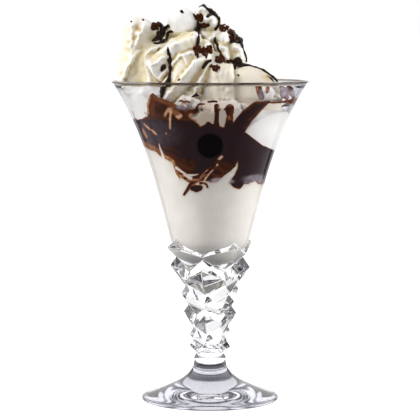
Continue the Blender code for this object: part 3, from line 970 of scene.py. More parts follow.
# Scoops and the cherry: centre, radii and relief.
SIDE_SCOOP = ((25.6, -13.6, 166.5), (24, 24, 15.5), ((14, 0.9, 31), (4, 0.35, 32)))
VANILLA_SCOOP = ((24.0, -18, 184.4), (18.2, 14.5, 18.4), ((10, 0.5, 33), (3, 0.15, 34)))
CHERRY = ((0.0, -36.4, 158.2), (7.8, 8.6, 8.5), ((6, 0.2, 37),))


def make_scoop(name, shape, surface, into_wall=0.5):
    """A scoop of ice cream, flattened where it meets the glass."""
    centre, radii, relief = shape
    points, faces = ball(centre, radii, 70, 110, relief)
    made = outward(new_object(name, keep_inside(points, -into_wall * INTO_WALL), faces, surface))
    mark(made, "stain", np.zeros(len(points)))
    return made


# The stain on the vanilla scoop, seen from the front: its middle, half sizes, slope and strength.
STAIN_MIDDLE = (33.6, 196.2)
STAIN_SIZE = (3.0, 1.9)
STAIN_SLOPE = 0.4
STAIN_STRENGTH = 0.8


def stain_scoop(scoop):
    """Syrup has run thin and orange brown below the line over the vanilla scoop."""
    x, _, z = points_of(scoop).T
    aside = x - STAIN_MIDDLE[0]
    across = aside / STAIN_SIZE[0]
    down = (z - STAIN_MIDDLE[1] + STAIN_SLOPE * aside) / STAIN_SIZE[1]
    mark(scoop, "stain", STAIN_STRENGTH * np.exp(-(across**2) - down**2))


# The front scoop's flat top, and the centre and radii of each rib.
FRONT_SCOOP_TOP = 204.2
FRONT_SCOOP_RIBS = (
    ((4.2, -29.2, 188), (4.4, 9.4, 19)),
    ((7.6, -29.2, 188.2), (4.0, 9.5, 19.4)),
    ((10.4, -28.8, 188.6), (4.2, 9.8, 20)),
)


def make_front_scoop(surface):
    """The scraped scoop in front: three soft upright ribs under a flat, crumbly top."""
    parts = [
        ball(centre, radii, 60, 80, ((5, 1.0, 35 + i), (2, 0.5, 37 + i)))
        for i, (centre, radii) in enumerate(FRONT_SCOOP_RIBS)
    ]
    made = remeshed(joined("front_scoop_ice", parts, surface), 0.7)
    points = points_of(made)
    top = FRONT_SCOOP_TOP + 0.5 * grain(points * [1, 1, 0], 3, 2, 39)
    points[:, 2] = top - 0.7 * np.log1p(np.exp((top - points[:, 2]) / 0.7))
    move_to(made, keep_inside(points, -0.5 * INTO_WALL))
    mark(made, "stain", np.zeros(len(points)))
    return made


# Lumps of cream at the glass above the sauce: azimuth, height, depth inside the wall, radii,
# and how brown they are, partly a sauce stain and partly painted shade.
CREAM_AT_GLASS = (
    (-2.4, 174.6, 3.5, (6.2, 6, 8.2), 0.5),
    (9, 175, 3.8, (9, 6, 9.5), 0.36),
    (18.6, 177.5, 3.4, (5.2, 6, 6.4), 0.26),
    (-11, 173.2, 5.0, (6, 5, 5), 0.45),
    (26, 174, 7, (7, 6, 8), 0.2),
    (-10.2, 182.2, 4.2, (3.0, 4, 2.6), 0.22),
    (-14.2, 184.4, 4.6, (2.6, 4, 2.2), 0.24),
    (-18, 184.6, 4.6, (2.4, 4, 1.9), 0.3),
    (-16.4, 181.4, 4.0, (3.2, 4, 2.2), 0.26),
    (-21.2, 182.4, 4.6, (2.4, 4, 2.2), 0.2),
    (41, 188.4, 4.6, (5.4, 5, 3.6), 0.0),
    (-50, 184, 6, (9, 8, 8), 0.0),
    (-60, 178, 6, (11, 8, 9), 0.0),
    (-70, 185, 7, (10, 9, 8), 0.0),
    (-82, 177, 7, (11, 9, 9), 0.0),
    (-96, 182, 9, (12, 10, 9), 0.0),
    (-19, 174, 7.5, (9, 6, 7.5), 0.2),
    (-32, 174, 9, (10, 7, 8), 0.2),
)


def make_cream_at_glass(surface):
    """Lumps of cream pressed to the front of the glass between the drips of sauce."""
    parts, centres = [], []
    for i, (azimuth, z, inside, radii, _) in enumerate(CREAM_AT_GLASS):
        centre = on_circle(math.radians(azimuth), float(cavity_radius(z)) - inside, z)
        relief = ((9, 1.4, 50 + i), (4, 0.9, 60 + i), (1.8, 0.3, 80 + i))
        if min(radii) <= 3.5:
            relief = ((3, 1.1, 50 + i), (1.4, 0.5, 60 + i))
        parts.append(ball(centre, radii, 40, 60, relief))
        centres.append(centre)
    made = remeshed(joined("cream_at_glass", parts, surface), 0.6)
    points = keep_inside(points_of(made), -0.5 * INTO_WALL)
    move_to(made, points)
    _, _, _, sizes, stains_and_shade = zip(*CREAM_AT_GLASS)
    reach = [np.linalg.norm((points - centre) / radii, axis=1) for centre, radii in zip(centres, sizes)]
    weight = np.exp(-6 * np.array(reach))
    # Partly painted shade: the lumps' brown is both a sauce stain and their shade.
    mark(made, "stain", np.array(stains_and_shade) @ weight / weight.sum(axis=0))
    return made


# ---------------------------------------------------------------- whipped cream

CREAM_CENTRE = np.array([-17.0, 0, 0])
CORE_SIZE = (23.0, 23, 26)
CORE_Z = 194
# The size of faces of the joined strokes, and of the folded heap.
STROKES_FACE = 0.6
HEAP_FACE = 0.55

# Strokes of the star nozzle: foot, tip, how far the middle bows out, radius at the foot and
# at the tip, turn of the ribs in degrees, depth of the grooves as a share of the radius, the
# share of the length at which the end rounds off, and the number of ribs.
FRONT_STROKES = (
    ((-40, -10, 183), (-41.6, -6, 231.6), 5, 14, 8.8, 35, 0.03, 0.9, 8),
    ((-46, -6, 190), (-45.8, -5, 230.8), 2, 8.6, 4.4, 35, 0.02, 0.93, 8),
    ((-45, -9, 184), (-49.6, -7, 214), 2, 10, 5.6, 35, 0.02, 0.55, 8),
    ((-31, -6, 196), (-30.4, -5, 228.2), 2, 12, 6.4, 35, 0.03, 0.84, 8),
    ((-36, -11, 196), (-32.6, -10, 215), 3, 9, 6.8, 35, 0.02, 0.7, 8),
    ((-24, -21, 178), (-2, -13, 218), 8, 14, 10, 60, 0.05, 0.6, 9),
    ((-31, -14, 200), (-6, -16, 222), 6, 10, 8, 70, 0.05, 0.5, 8),
    ((-6, -22, 178), (3, -14, 211), 9, 11, 8, 50, 0.06, 0.5, 8),
    ((-16.6, -4, 206), (-16.8, -8, 237.4), 0, 9, 8.8, 20, 0.01, 0.72, 8),
    ((0.6, 0, 203), (-4.2, -3, 239.0), 3, 12, 7.8, 60, 0.06, 0.8, 8),
    ((7, -8, 196), (8, -7, 227), 3, 10, 8, 45, 0.14, 0.5, 7),
    ((13, -8, 192), (16, -7, 219), 2, 9, 7, 45, 0.14, 0.5, 7),
)

# The lip on a crest in mm, how sharply folds that meet are merged, and how wide a groove counts.
CREST = 0.9
MERGE = 4.0
HOLLOW_ROUNDS = 25
# Folds on the front of the heap: how wide the fold slopes off on its right and left hand going
# along it, how sharp its crest is, and the crest as x, z and its height there.
FOLDS = (
    (4, 4, 1.2, (-45.6, 230, 1.2), (-46.6, 222, 1.8), (-46.4, 214, 2.0), (-46.8, 208, 0.8)),
    (8, 1.8, 1.0, (-38.6, 215, 0.6), (-41, 212, 2.6), (-44, 209, 3.6), (-46.5, 205.5, 4), (-48.8, 202, 4),
        (-51, 197, 3.6), (-52.5, 190, 2.6)),
    (4, 6.5, 1.0, (-38.6, 230.8, 1.6), (-39, 226, 3), (-41, 222, 3.6), (-43, 217.5, 3.4),
        (-44.8, 213, 1.4)),
    (8, 2.0, 1.1, (-38.9, 205, 3.2), (-38.4, 209, 4.4), (-35.8, 212, 4.6), (-32, 214, 4.6),
        (-27, 214.6, 4.4), (-21, 215.8, 4.4), (-15, 218.4, 4.4), (-10, 221.4, 4), (-6, 222.6, 2.4)),
    (10, 1.6, 1.0, (-38.6, 202.4, 3.4), (-36, 204.4, 4.4), (-33, 204.3, 4.6), (-30.6, 205.8, 4.2),
        (-28.4, 207.6, 3.2), (-25.6, 208.8, 1.4)),
    (1.8, 13, 0.6, (-38.6, 206, 3.8), (-38, 202, 4.4), (-36.9, 199, 4.4), (-36.4, 195, 4.2),
        (-36, 188, 3.4)),
    (9, 8, 0.6, (-35.4, 205, 4.2), (-34, 200.6, 4.4), (-32.6, 197, 4.2), (-32, 191, 3.6)),
    (1.8, 3, 1.1, (-24, 202.8, 2.2), (-27, 199.2, 3.6), (-29.6, 195.8, 3.8), (-31.6, 191, 3.4),
        (-33.6, 185, 2.6)),
    (13, 1.6, 0.9, (-24, 200.5, 2.6), (-21.4, 204.8, 3.8), (-18.6, 208, 4.2), (-16, 210, 4.4),
        (-11, 210.8, 4), (-6.6, 210.4, 2.4)),
    (2.0, 5.4, 0.7, (-3, 209, 3.6), (-8, 205.6, 4.8), (-12, 201.4, 5), (-16, 197, 5), (-19.4, 193, 4.8),
        (-24, 187, 4.2), (-28, 181, 3.4)),
    (1.9, 3.6, 0.8, (-0.4, 204, 3.4), (-3, 199.6, 4.2), (-5, 195.4, 4.2), (-7.8, 190, 3.8),
        (-11.4, 184, 3)),
    (2.0, 3.0, 0.8, (-13.6, 188.6, 3), (-17.6, 183.6, 3.2), (-21.6, 178, 2.6)),
    (3.6, 3.6, 0.5, (8.9, 223.8, 3.2), (9, 220.8, 4.2), (8.6, 218, 3.4)),
    (2.2, 3.6, 0.8, (2.8, 222, 2), (0.6, 218.8, 3.2), (-1.8, 215.4, 2.8)),
    (2, 2, 0.6, (-5.6, 222.4, 2.2), (-2.6, 221.4, 1.8)),
    (3, 3, 0.7, (5.6, 216, 2.2), (8.6, 212.6, 2.8), (10.2, 208, 2.4)),
    (2.9, 2.9, 0.5, (14.4, 214, 3.2), (17.4, 212.6, 4.0), (18.4, 209.6, 3.2)),
    (2.4, 2.4, 0.7, (-8.6, 233, 1.4), (-6.6, 236.8, 2), (-2.4, 237, 1.4)),
    (2.4, 2.4, 0.7, (-2, 230.6, 2.2), (1.6, 230.4, 2.4), (2.6, 227, 2)),
)
# Hollows between them, and low fills below 0: depth, half width and (x, z) points. They also set where
# painted warm yellow shade lies.
HOLLOWS = (
    (2.6, 3.4, (-39.6, 213), (-41.4, 207), (-42.4, 199), (-42.6, 190)),
    (1.6, 2.0, (-39.4, 203), (-39.6, 197), (-40, 191)),
    (1.0, 2.0, (-34.4, 209.4), (-33.2, 206.8), (-30.6, 208.4)),
    (-0.8, 1.6, (-35, 212.4), (-32, 211.2)),
    (4.5, 1.7, (-24, 220.4), (-18, 220.2), (-11.4, 221.8)),
    (3.4, 3.0, (-33.6, 219), (-30, 220), (-28, 224)),
    (1.2, 2.0, (-13, 200.6), (-16.4, 196.4), (-20, 191.6)),
    (4.6, 1.4, (-2.4, 205.4), (-5.6, 200.2), (-8.8, 195.8), (-12, 190.6), (-16, 185)),
    (3.4, 1.1, (0.2, 203), (-1.6, 198.4), (-3, 194), (-4.6, 188)),
    (0.9, 1.0, (-21.6, 203), (-22, 198), (-23.4, 192)),
    (2.6, 1.8, (-6, 224.4), (-2, 223.6), (2, 224.6)),
    (2.4, 1.1, (-4.8, 219.6), (-3.2, 216.8)),
    (3.0, 1.3, (12.6, 214), (13.2, 210), (12.6, 206.4)),
    (3.4, 1.2, (4.4, 217), (8, 215.8), (12.4, 217)),
)
# Painted shade on faces turned from the light, and painted highlights below 0, on the front of the heap:
# amount, half width, (x, z) points.
PAINTED_SHADE_AND_HIGHLIGHTS = (
    (0.16, 3.0, (-43, 226), (-44, 218)),
    (0.2, 3.4, (-47.6, 226), (-48.4, 218), (-49.4, 212), (-51, 202), (-53, 195)),
    (0.22, 2.4, (-34, 210.6), (-27, 211.2)),
    (0.26, 2.4, (-14.6, 216), (-9, 218.4)),
    (-0.2, 2.2, (-23, 213), (-18, 213.6)),
    (-0.25, 2.0, (-4, 206.6), (-10, 200.6), (-16, 194.6)),
    (0.22, 3.2, (-22, 204), (-18, 201), (-18, 195), (-22, 190)),
    (0.16, 2.4, (-14, 206.4), (-8, 207)),
    (-0.14, 3.0, (-35, 203), (-33, 197)),
    (-0.5, 6.0, (-17, 235), (-17, 227)),
    (-0.3, 2.4, (8, 224), (8, 218)),
)


def along_line(place, line):
    """For each place the length along the line to its nearest point, the distance from it, above
    0 on the left hand going along, and the whole line's length."""
    best = np.full(len(place), 1e6)
    run = np.zeros(len(place))
    aside = np.zeros(len(place))
    so_far = 0.0
    for a, b in zip(line, line[1:]):
        step = b - a
        size = float(np.hypot(*step))
        t = np.clip(((place - a) @ step) / size**2, 0, 1)
        away = place - a - t[:, None] * step
        distance = np.hypot(*away.T)
        nearer = distance < best
        best[nearer] = distance[nearer]
        run[nearer] = so_far + t[nearer] * size
        side = np.sign(step[0] * away[:, 1] - step[1] * away[:, 0])
        aside[nearer] = (distance * side)[nearer]
        so_far += size
    return run, aside, so_far


def fold_height(place):
    """The height of the folds at each (x, z) place, with rippled crests."""
    total = np.zeros(len(place))
    lips = np.zeros(len(place))
    for number, (right, left, sharp, *knots) in enumerate(FOLDS):
        knots = np.array(knots, float)
        run, aside, length = along_line(place, through(knots[:, :2], 40))
        height = np.interp(run, np.linspace(0, length, len(knots)), knots[:, 2])
        near = np.abs(aside) < max(right, left) + 2
        wander = np.zeros(len(place))
        wander[near] = [noise.noise(Vector((number * 7.3, t * 0.35, 0))) for t in run[near]]
        aside = aside + 0.9 * wander
        slope = np.where(aside > 0, 1 - aside / left, 1 + aside / right)
        profile = np.clip(slope, 0, 1) ** sharp
        ripple = 0.2 * np.cos(run * 3.1 + 5 * wander) * np.clip(slope, 0, 1) ** 3
        lip = CREST * np.exp(-((aside / 0.9) ** 2)) * np.clip(height / 3, 0, 1)
        total += np.maximum(height * profile * (1.1 + 0.25 * wander), 0) ** MERGE
        lips = np.maximum(lips, ripple + lip)
    return total ** (1 / MERGE) + lips


def brushed(place, lines):
    """The sum at each (x, z) place of soft lines, given as amount, half width and points."""
    total = np.zeros(len(place))
    for amount, width, *points in lines:
        _, aside, _ = along_line(place, through(points, 24))
        total += amount * np.exp(-((aside / width) ** 2))
    return total


def back_strokes():
    """A plain fan of strokes round the back of the heap."""
    rows = []
    for i in range(5):
        azimuth = math.radians(75 + 187 * i / 4)
        foot = CREAM_CENTRE + on_circle(azimuth, 20, 177)
        tip = CREAM_CENTRE + on_circle(azimuth + 0.7, 8, 224 + 6 * math.sin(2.3 * i))
        rows.append((foot, tip, 8, 14, 9, 50, 0.24, 0.5, 9))
    return rows


def piped(stroke, seed):
    """Points and faces of one stroke: sharp crests, round grooves, a softly torn surface."""
    foot, tip, bow, wide, narrow, twist, depth, rounds_from, ribs = stroke
    foot, tip = np.array(foot, float), np.array(tip, float)
    middle = (foot + tip) / 2
    out = (middle - CREAM_CENTRE) * [1, 1, 0]
    middle = middle + out / np.linalg.norm(out) * bow
    middle[2] = foot[2] + 0.45 * (tip[2] - foot[2])
    t = 1 - (1 - np.linspace(0, 0.999, 90)) ** 1.4
    shares = ((1 - t) ** 2, 2 * t * (1 - t), t * t)
    spine = sum(share[:, None] * end for share, end in zip(shares, (foot, middle, tip)))
    along = unit(np.gradient(spine, axis=0))
    side = unit(np.cross(along, [0, 1, 0.2]))
    other = np.cross(along, side)
    rounding = np.clip((t - rounds_from) / (1 - rounds_from), 0, 1)
    radius = (wide + (narrow - wide) * t) * np.sqrt(np.maximum(1 - rounding**2, 0))
    angles = turns(144)
    phase = angles[None, :] - np.radians(twist) * t[:, None]
    groove = np.abs(np.sin(phase * ribs / 2)) ** 0.9
    wave = np.array([noise.noise(Vector((seed * 3.7, k * 0.09, 0))) for k in range(len(t))])
    share = 1 - depth * (1 + 0.35 * wave[:, None]) * groove
    swell = 1 + 0.05 * wave[::-1, None]
    reach = (radius[:, None] * share * swell)[..., None]
    turn = angles[None, :, None]
    ways = side[:, None, :] * np.cos(turn) + other[:, None, :] * np.sin(turn)
    return skin(spine[:, None, :] + reach * ways, foot - along[0] * 0.5, tip)


def make_whipped_cream(surface):
    """The piped heap in one skin: strokes, folds down its front, torn and bubbly crests."""
    parts = [piped(s, i) for i, s in enumerate([*FRONT_STROKES, *back_strokes()])]
    parts.append(ball(CREAM_CENTRE + [0, 0, CORE_Z], CORE_SIZE, 40, 60, ((12, 1.0, 3),)))
    heap = remeshed(joined("cream_strokes", parts, surface), STROKES_FACE)
    fold_front(heap)
    heap = remeshed(heap, HEAP_FACE)
    heap.name = "whipped_cream_heap"
    points = points_of(heap)
    points = points + 0.2 * (neighbours_mean(heap, points, 1) - points)
    relief = 0.3 * grain(points, 5, 2, 12) + 0.16 * grain(points, 1.5, 2, 13)
    points = keep_inside(points + vectors(heap, "normal") * relief[:, None], 0.1)
    points[:, 2] = np.maximum(points[:, 2], SAUCE_LEVEL - 0.4)
    move_to(heap, points)
    place = points[:, [0, 2]]
    front = smoothstep(0, -8, points[:, 1])
    # Painted shade and painted highlights are added to the groove depth.
    mark_hollows(heap, brushed(place, PAINTED_SHADE_AND_HIGHLIGHTS) * front)
    # Painted warm shade in the hollows of the front, above the rim.
    painted_warm_shade = brushed(place, HOLLOWS) * front * smoothstep(191, 197, points[:, 2])
    mark(heap, "painted_warm_shade", np.clip(painted_warm_shade / 2.8, 0, 1))
    return heap


def fold_front(heap):
    """Smooths the front of the heap and raises its folds towards the camera."""
    points = points_of(heap)
    forward = smoothstep(0.1, 0.5, -vectors(heap, "normal")[:, 1])
    facing = neighbours_mean(heap, forward[:, None], 6)
    points = points + facing * (neighbours_mean(heap, points, 14) - points)
    place = points[:, [0, 2]]
    points[:, 1] += facing[:, 0] * (brushed(place, HOLLOWS) - fold_height(place))
    move_to(heap, points)


# ---------------------------------------------------------------- toppings


STRAND_STEP = 0.5
STRAND_REACH = 1.6
STRAND_HEIGHT = 0.7


def strand(outside, knots):
    """A string of syrup on the surface under its knots, where that is seen from the front."""
    path, radii = np.array(knots)[:, :2], np.array(knots)[:, 2]
    length = sum(math.dist(a, b) for a, b in zip(path, path[1:]))
    count = max(8, int(length / STRAND_STEP))
    path = through(path, count)
    radius = np.interp(np.linspace(0, 1, count), np.linspace(0, 1, len(radii)), radii)
    found = [outside.seen_at(x, z) for x, z in path]
    spine = np.array([p for p, _ in found])
    normals = np.array([n for _, n in found])
    near = np.hypot(*(spine[:, [0, 2]] - path).T) < STRAND_REACH
    spine, normals, radius = spine[near], normals[near], radius[near]
    count = len(spine)
    for _ in range(8):
        spine[1:-1, 1] = (spine[:-2, 1] + spine[1:-1, 1] + spine[2:, 1]) / 3
        normals[1:-1] = (normals[:-2] + normals[1:-1] + normals[2:]) / 3
    normals = unit(normals)
    radius = radius * (1 + 0.35 * grain(spine, 2.2, 2, 21))
    spine = spine + normals * (0.3 * radius[:, None])
    along = unit(np.gradient(spine, axis=0))
    side = unit(np.cross(along, normals))
    up = np.cross(side, along)
    ends = np.sqrt(np.clip(1 - np.abs(np.linspace(-1, 1, count)) ** 12, 0.02, 1))
    turn = turns(12)[None, :, None]
    ways = side[:, None, :] * np.cos(turn) + up[:, None, :] * np.sin(turn) * STRAND_HEIGHT
    rings = spine[:, None, :] + (radius * ends)[:, None, None] * ways
    tips = along * radius[:, None] * 0.3
    return skin(rings, spine[0] - tips[0], spine[-1] + tips[-1])


def chip(place, size, rng, seed):
    """A rough crumb about that size."""
    radii = np.array([size * rng.uniform(0.7, 1.2) for _ in range(3)])
    return ball(place, radii, 8, 12, ((size * 0.9, size * 0.5, seed),))


def crumb_cluster(outside, middle, spread, count, sizes, rng):
    """Crumbs of these sizes scattered over an oval of the surface as seen from the front."""
    parts = []
    for _ in range(count):
        angle, reach = rng.uniform(0, 2 * math.pi), math.sqrt(rng.random())
        x = middle[0] + spread[0] * reach * math.cos(angle)
        z = middle[1] + spread[1] * reach * math.sin(angle)
        place, normal = outside.seen_at(x, z)
        size = rng.uniform(*sizes)
        parts.append(chip(place + normal * size * rng.uniform(0.2, 0.7), size, rng, rng.uniform(0, 50)))
    return parts


# Syrup strings on the cream: x and z seen from the front and the half width at each knot.
SYRUP = (
    ((-33, 229, 0.7), (-30.6, 227.8, 1.3), (-28.8, 225, 1.7), (-28.6, 222.4, 1.8), (-30, 220.4, 1.9),
        (-32, 218.8, 1.4), (-34.8, 217.3, 0.7)),
    ((-33.8, 216.4, 0.9), (-31.2, 215.8, 1.1), (-28.4, 217, 1.2), (-26.4, 218.6, 1.0)),
    ((-31, 223.6, 1.4), (-30.6, 220, 1.8), (-28.4, 218.4, 1.2)),
    ((-26.2, 217.6, 0.9), (-25.8, 220, 1.1), (-25, 222.4, 1.0), (-23.2, 223.3, 0.9), (-21.6, 223, 0.6)),
    ((-27.8, 225, 0.9), (-26, 225.6, 1.2), (-24.8, 226.8, 1.2), (-23.6, 225.6, 0.8)),
    ((-24.6, 214.4, 0.9), (-24.3, 211, 1.3), (-23.4, 208.6, 0.8), (-23.6, 206.2, 1.6),
        (-23.2, 203.6, 1.2), (-23.4, 199, 1.25), (-24.2, 194.5, 1.4), (-26.2, 191.6, 1.8),
        (-27.4, 188.6, 1.9), (-28.6, 184, 1.3)),
    ((-28.8, 199.8, 0.8), (-27.8, 202, 1.5), (-26.4, 204, 1.0)),
    ((-10.4, 233.8, 0.4), (-9.2, 232.4, 0.8), (-8, 230, 0.9)),
    ((-7.4, 229.4, 1.2), (-7.0, 226, 1.2), (-7.0, 222, 1.0), (-7.1, 218, 1.1), (-8.2, 213.6, 0.9)),
    ((-7.2, 223.6, 0.9), (-9.4, 221.8, 0.6), (-10.8, 221.2, 0.3)),
    ((-6, 226.6, 1.2), (-3.4, 226.2, 1.2), (-0.4, 227.4, 1.0)),
    ((-2.4, 210.6, 1.2), (-2.5, 207.6, 0.9)),
    ((-7.2, 209.4, 0.8), (-7.4, 207.6, 0.6)),
    ((-6.6, 237.6, 0.7), (-4, 238.5, 1.1), (-2.4, 237, 1.1), (0, 235.4, 1.4), (2.5, 233.4, 1.5),
        (4.5, 231.4, 1.4), (5.4, 229.5, 1.0), (5, 227.4, 0.8), (3.8, 225.4, 0.9), (3.2, 223.4, 1.3)),
    ((-2, 231.2, 0.7), (-0.8, 232.4, 1.2), (1.2, 234, 1.0)),
    ((3.2, 220.2, 0.7), (2.8, 217.6, 0.8), (4.5, 215.4, 0.9), (5, 213, 1.0), (6.2, 210.8, 0.6),
        (7, 208.4, 0.7), (6.4, 206.2, 1.3)),
    ((12.4, 223.8, 1.3), (13.4, 220, 1.9), (12.8, 216, 1.3)),
    ((14, 220.6, 1.6), (16.4, 219, 2.0), (18.2, 216.6, 1.4), (19.3, 213, 0.9), (20.8, 209.4, 0.8),
        (21.5, 207, 0.8), (21.2, 205, 0.9)),
    ((14, 217.4, 1.5), (16.6, 217, 1.3)),
    ((14.6, 205.8, 1.3), (16.6, 206.6, 1.9), (18.6, 206.8, 1.3)),
    ((12.8, 205.2, 1.0), (16.4, 203.8, 1.7), (20, 203.2, 1.5), (24.4, 202.6, 1.0), (28.8, 201.6, 0.85),
        (32.8, 199.4, 0.95), (36.8, 196.4, 1.25), (40, 193.2, 1.1)),
    ((33.4, 197.6, 0.3), (36, 195.4, 0.6), (38, 193.2, 0.5)),
    ((14.6, 203.4, 0.9), (14.7, 200.4, 0.6)),
    ((4.6, 208.6, 0.9), (4, 206.4, 1.3), (3.6, 204.8, 0.9)),
    ((0.8, 206.6, 0.9), (-0.8, 205.4, 1.1), (-3, 203, 1.5), (-4.6, 201.4, 1.2)),
    ((-18.6, 194.6, 0.5), (-17.4, 195.4, 0.7)),
)
# Heaps of crumbs: middle (x, z), spread, count and sizes in mm.
CRUMBS = (
    ((-32.8, 226), (2.1, 2.1), 40, (0.5, 1.0)),
    ((-23.6, 206.2), (1.2, 1.1), 14, (0.45, 0.8)),
    ((12.2, 222.8), (1.5, 1.4), 26, (0.5, 0.9)),
    ((-6.2, 231.4), (2.2, 2.0), 50, (0.45, 0.9)),
    ((-4.0, 227.0), (3.6, 1.2), 40, (0.45, 0.85)),
    ((8.4, 225.2), (2.5, 1.8), 40, (0.45, 0.9)),
    ((13.2, 220.2), (1.7, 3.8), 56, (0.5, 1.0)),
    ((16.6, 219), (3.0, 2.4), 64, (0.5, 1.1)),
    ((-7.6, 212.2), (2.3, 2.5), 48, (0.5, 1.0)),
    ((-3.6, 211.4), (1.7, 2.4), 34, (0.5, 0.9)),
    ((-0.4, 212.4), (1.8, 2.3), 38, (0.5, 1.0)),
    ((5.6, 207), (2.6, 2.2), 50, (0.5, 0.9)),
    ((10.6, 205.6), (2.6, 0.8), 26, (0.45, 0.8)),
    ((3.5, 201.8), (2.1, 1.6), 32, (0.5, 0.9)),
    ((0.9, 203.2), (1.1, 0.8), 12, (0.45, 0.8)),
    ((16.6, 206.0), (2.4, 1.3), 16, (0.45, 0.8)),
    ((-46.6, 228.8), (0.4, 0.4), 3, (0.4, 0.6)),
    ((-39.6, 229.8), (0.3, 0.3), 3, (0.5, 0.7)),
    ((-16.8, 234.7), (0.4, 0.4), 4, (0.6, 0.9)),
    ((16.8, 197.4), (0.4, 0.4), 3, (0.35, 0.55)),
)
CRUMB_SEED = 7


def make_syrup(outside, surface):
    strands = [strand(outside, knots) for knots in SYRUP]
    return outward(joined("chocolate_syrup", strands, surface))


def make_crumbs(outside, surface):
    rng = random.Random(CRUMB_SEED)
    crumbs = [crumb for cluster in CRUMBS for crumb in crumb_cluster(outside, *cluster, rng)]
    return outward(joined("chocolate_crumbs", crumbs, surface))


# ---------------------------------------------------------------- studio


FLOOR_REACH = 60000.0
FLOOR_Z = -0.02
FLOOR_GLOW = 0.45
# Soft boxes: name, place and size in metres, and power in watts.
SOFT_LIGHTS = (
    ("key", (-0.45, -0.45, 0.85), (0.3, 0.3), 5.0),
    ("left", (-0.9, 0.0, 0.06), (0.6, 0.2), 6.0),
    ("right", (0.9, 0.0, 0.06), (0.6, 0.2), 9.5),
    ("low_front", (0, -0.7, 0.04), (1.2, 0.06), 1.8),
)
LIT_MIDDLE = (0, 0, 0.15)
# The camera's lens and film in mm, and its place and what it points at in metres.
LENS = 161.2
FILM_WIDTH = 36
CAMERA_PLACE = (0, -1.135, 0.223)
CAMERA_TARGET = (0, 0, 0.1155)


def seen_straight(made):
    """1 for what is seen straight or through clear glass, 0 by way of a reflection."""
    path = made.node("LightPath")
    bounces = made.math("MAXIMUM", path.outputs["Diffuse Depth"], path.outputs["Glossy Depth"])
    return made.math("LESS_THAN", bounces, 0.5)


def make_floor():
    """A pale floor, lit from below as on a light table, with no mirror image in the glass."""
    made = Surface("floor", 0.7, Specular_IOR_Level=0.1, Emission_Strength=FLOOR_GLOW)
    made.colour((0.9, 0.9, 0.9))
    made.feed(made.shader.inputs["Emission Color"], (1, 1, 1))
    clear = made.node("BsdfTransparent")
    mixed = made.node("MixShader")
    made.feed(mixed.inputs["Fac"], seen_straight(made))
    made.feed(mixed.inputs[1], clear.outputs["BSDF"])
    made.feed(mixed.inputs[2], made.shader.outputs["BSDF"])
    made.feed(made.nodes["Material Output"].inputs["Surface"], mixed.outputs["Shader"])
    sides = ((-1, -1), (1, -1), (1, 1), (-1, 1))
    corners = [[x * FLOOR_REACH, y * FLOOR_REACH, FLOOR_Z] for x, y in sides]
    new_object("floor", corners, [(0, 1, 2, 3)], made.material)


def aimed(name, data, place, target):
    """A lamp or camera in the scene, turned to the target. Places are in metres."""
    made = bpy.data.objects.new(name, data)
    made.location = place
    made.rotation_euler = (Vector(target) - made.location).to_track_quat("-Z", "Y").to_euler()
    bpy.context.scene.collection.objects.link(made)
    return made


def soft_light(name, place, size, power):
    """A soft box that lights the object's matt surfaces and leaves no mirror image."""
    data = bpy.data.lights.new(name, "AREA")
    data.shape = "RECTANGLE"
    data.size, data.size_y = size
    data.energy = power
    made = aimed(name, data, place, LIT_MIDDLE)
    made.visible_camera = False
    made.visible_glossy = False
    made.visible_transmission = False


class Sky(Wiring):
    """The studio round the object, as brightness by direction."""

    def __init__(self):
        world = bpy.data.worlds.new("studio")
        bpy.context.scene.world = world
        super().__init__(world)
        split = self.node("SeparateXYZ")
        self.feed(split.inputs["Vector"], self.node("TexCoord").outputs["Generated"])
        self.x, self.y, self.z = (split.outputs[axis] for axis in "XYZ")

    def times(self, first, second):
        return self.math("MULTIPLY", first, second)

    def brighter(self, first, second):
        return self.math("MAXIMUM", first, second)

    def band(self, value, low, high, before=0.0, after=1.0):
        return self.spread(value, low, high, before, after, "SMOOTHSTEP")

    def show(self, brightness):
        """Dim parts turn lavender, and the camera itself sees plain white."""
        seen = self.brighter(brightness, self.node("LightPath").outputs["Is Camera Ray"])
        background = self.nodes["Background"]
        self.feed(background.inputs["Color"], self.mixed(seen, LAVENDER, (1, 1, 1)))
        self.feed(background.inputs["Strength"], seen)


LAVENDER = (0.82, 0.82, 0.95)
FRONT_LIGHT = 0.25
BACK_LIGHT = 1.0
SIDE_LIGHT = 1.5
TOP_LIGHT = 0.55
UNDER_LIGHT = 0.3


def make_sky():
    """Dim in front and below, white behind, with a large soft box at either side and one above."""
    sky = Sky()
    y, z = sky.y, sky.z
    aside = sky.math("ABSOLUTE", sky.x)
    light = sky.band(y, -0.25, 0.2, FRONT_LIGHT, BACK_LIGHT)
    light = sky.times(light, sky.band(z, -0.24, -0.03, 0.52, 1.0))
    light = sky.times(light, sky.band(z, -0.5, -0.25, UNDER_LIGHT, 1.0))
    flags = sky.times(sky.band(aside, 0.46, 0.5), sky.band(aside, 0.66, 0.62))
    flags = sky.times(flags, sky.band(z, 0.45, 0.35))
    light = sky.times(light, sky.math("SUBTRACT", 1.0, sky.times(flags, 0.9)))
    box = sky.times(sky.band(aside, 0.66, 0.72), sky.band(z, -0.1, 0.1))
    box = sky.times(box, sky.band(y, -0.35, -0.2))
    light = sky.brighter(light, sky.times(box, SIDE_LIGHT))
    top = sky.times(sky.band(z, 0.6, 0.75), sky.band(y, -0.6, -0.2))
    sky.show(sky.brighter(light, sky.times(top, TOP_LIGHT)))


def make_camera():
    data = bpy.data.cameras.new("camera")
    data.lens = LENS
    data.sensor_width = FILM_WIDTH
    data.clip_start = 0.05
    bpy.context.scene.camera = aimed("camera", data, CAMERA_PLACE, CAMERA_TARGET)


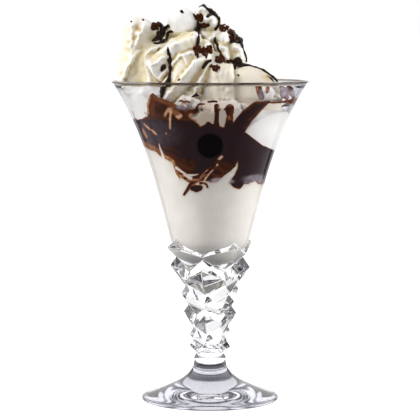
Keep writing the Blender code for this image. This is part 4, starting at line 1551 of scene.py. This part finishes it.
def make_studio():
    make_floor()
    make_sky()
    for light in SOFT_LIGHTS:
        soft_light(*light)
    make_camera()
    bpy.context.scene.view_settings.view_transform = "Standard"
    cycles = bpy.context.scene.cycles
    cycles.max_bounces = 24
    cycles.transmission_bounces = 24
    cycles.glossy_bounces = 8
    cycles.diffuse_bounces = 6


# ---------------------------------------------------------------- all of it


def place_piece(piece, slot, *nodes):
    """Fixes the piece to the root body and hides the solids that it stands for. The slot is not used."""
    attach(piece, "root")
    if nodes:
        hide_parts(*nodes)
    return piece


def make_scoops(white, pale):
    side = make_scoop("side_scoop_ice", SIDE_SCOOP, white, 1.15)
    place_piece(side, "vanilla_ice_cream", "side_scoop")
    scoop = make_scoop("vanilla_scoop_ice", VANILLA_SCOOP, pale)
    stain_scoop(scoop)
    place_piece(scoop, "vanilla_ice_cream", "vanilla_scoop")
    front = place_piece(make_front_scoop(pale), "vanilla_ice_cream", "front_scoop")
    return front, scoop


def main():
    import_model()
    make_studio()
    vanilla = ice_cream_surface("vanilla_ice_cream", (0.77, 0.745, 0.70), (0.71, 0.68, 0.625))
    white = ice_cream_surface("milk_ice_cream", (0.80, 0.79, 0.77), (0.75, 0.74, 0.72))
    pale = ice_cream_surface("pale_vanilla", (0.82, 0.76, 0.65), (0.77, 0.70, 0.57))
    milky = ice_cream_surface("milky_cream", (0.85, 0.83, 0.80), (0.80, 0.78, 0.76))
    dark, light = (0.010, 0.004, 0.003), (0.022, 0.009, 0.006)
    syrup = chocolate_surface("chocolate_syrup", dark, light, 0.12, 0.3, 3, 0.1)
    dark, light = (0.018, 0.004, 0.0015), (0.10, 0.027, 0.008)
    crumb = chocolate_surface("chocolate_crumb", dark, light, 0.5, 0.85, 0.8, 0.25, 0.1)

    place_piece(make_glass(glass_surface()), "glass", "glass")
    place_piece(make_ice_cream_base(vanilla), "vanilla_ice_cream", "ice_cream_base")
    place_piece(make_sauce(sauce_surface()), "chocolate_sauce", "chocolate_sauce")
    scoops = make_scoops(white, pale)
    cherry = make_scoop("dark_cherry_ball", CHERRY, cherry_surface(), 1.8)
    place_piece(cherry, "dark_cherry", "dark_cherry")
    place_piece(make_cream_at_glass(milky), "whipped_cream")
    heap = place_piece(make_whipped_cream(cream_surface()), "whipped_cream", "whipped_cream")
    outside = Outside([heap, *scoops])
    place_piece(make_syrup(outside, syrup), "chocolate_sauce")
    clumps = ["chocolate_clump_" + n for n in ("left", "top", "right", "middle", "low")]
    place_piece(make_crumbs(outside, crumb), "chocolate_crumb", *clumps)


main()
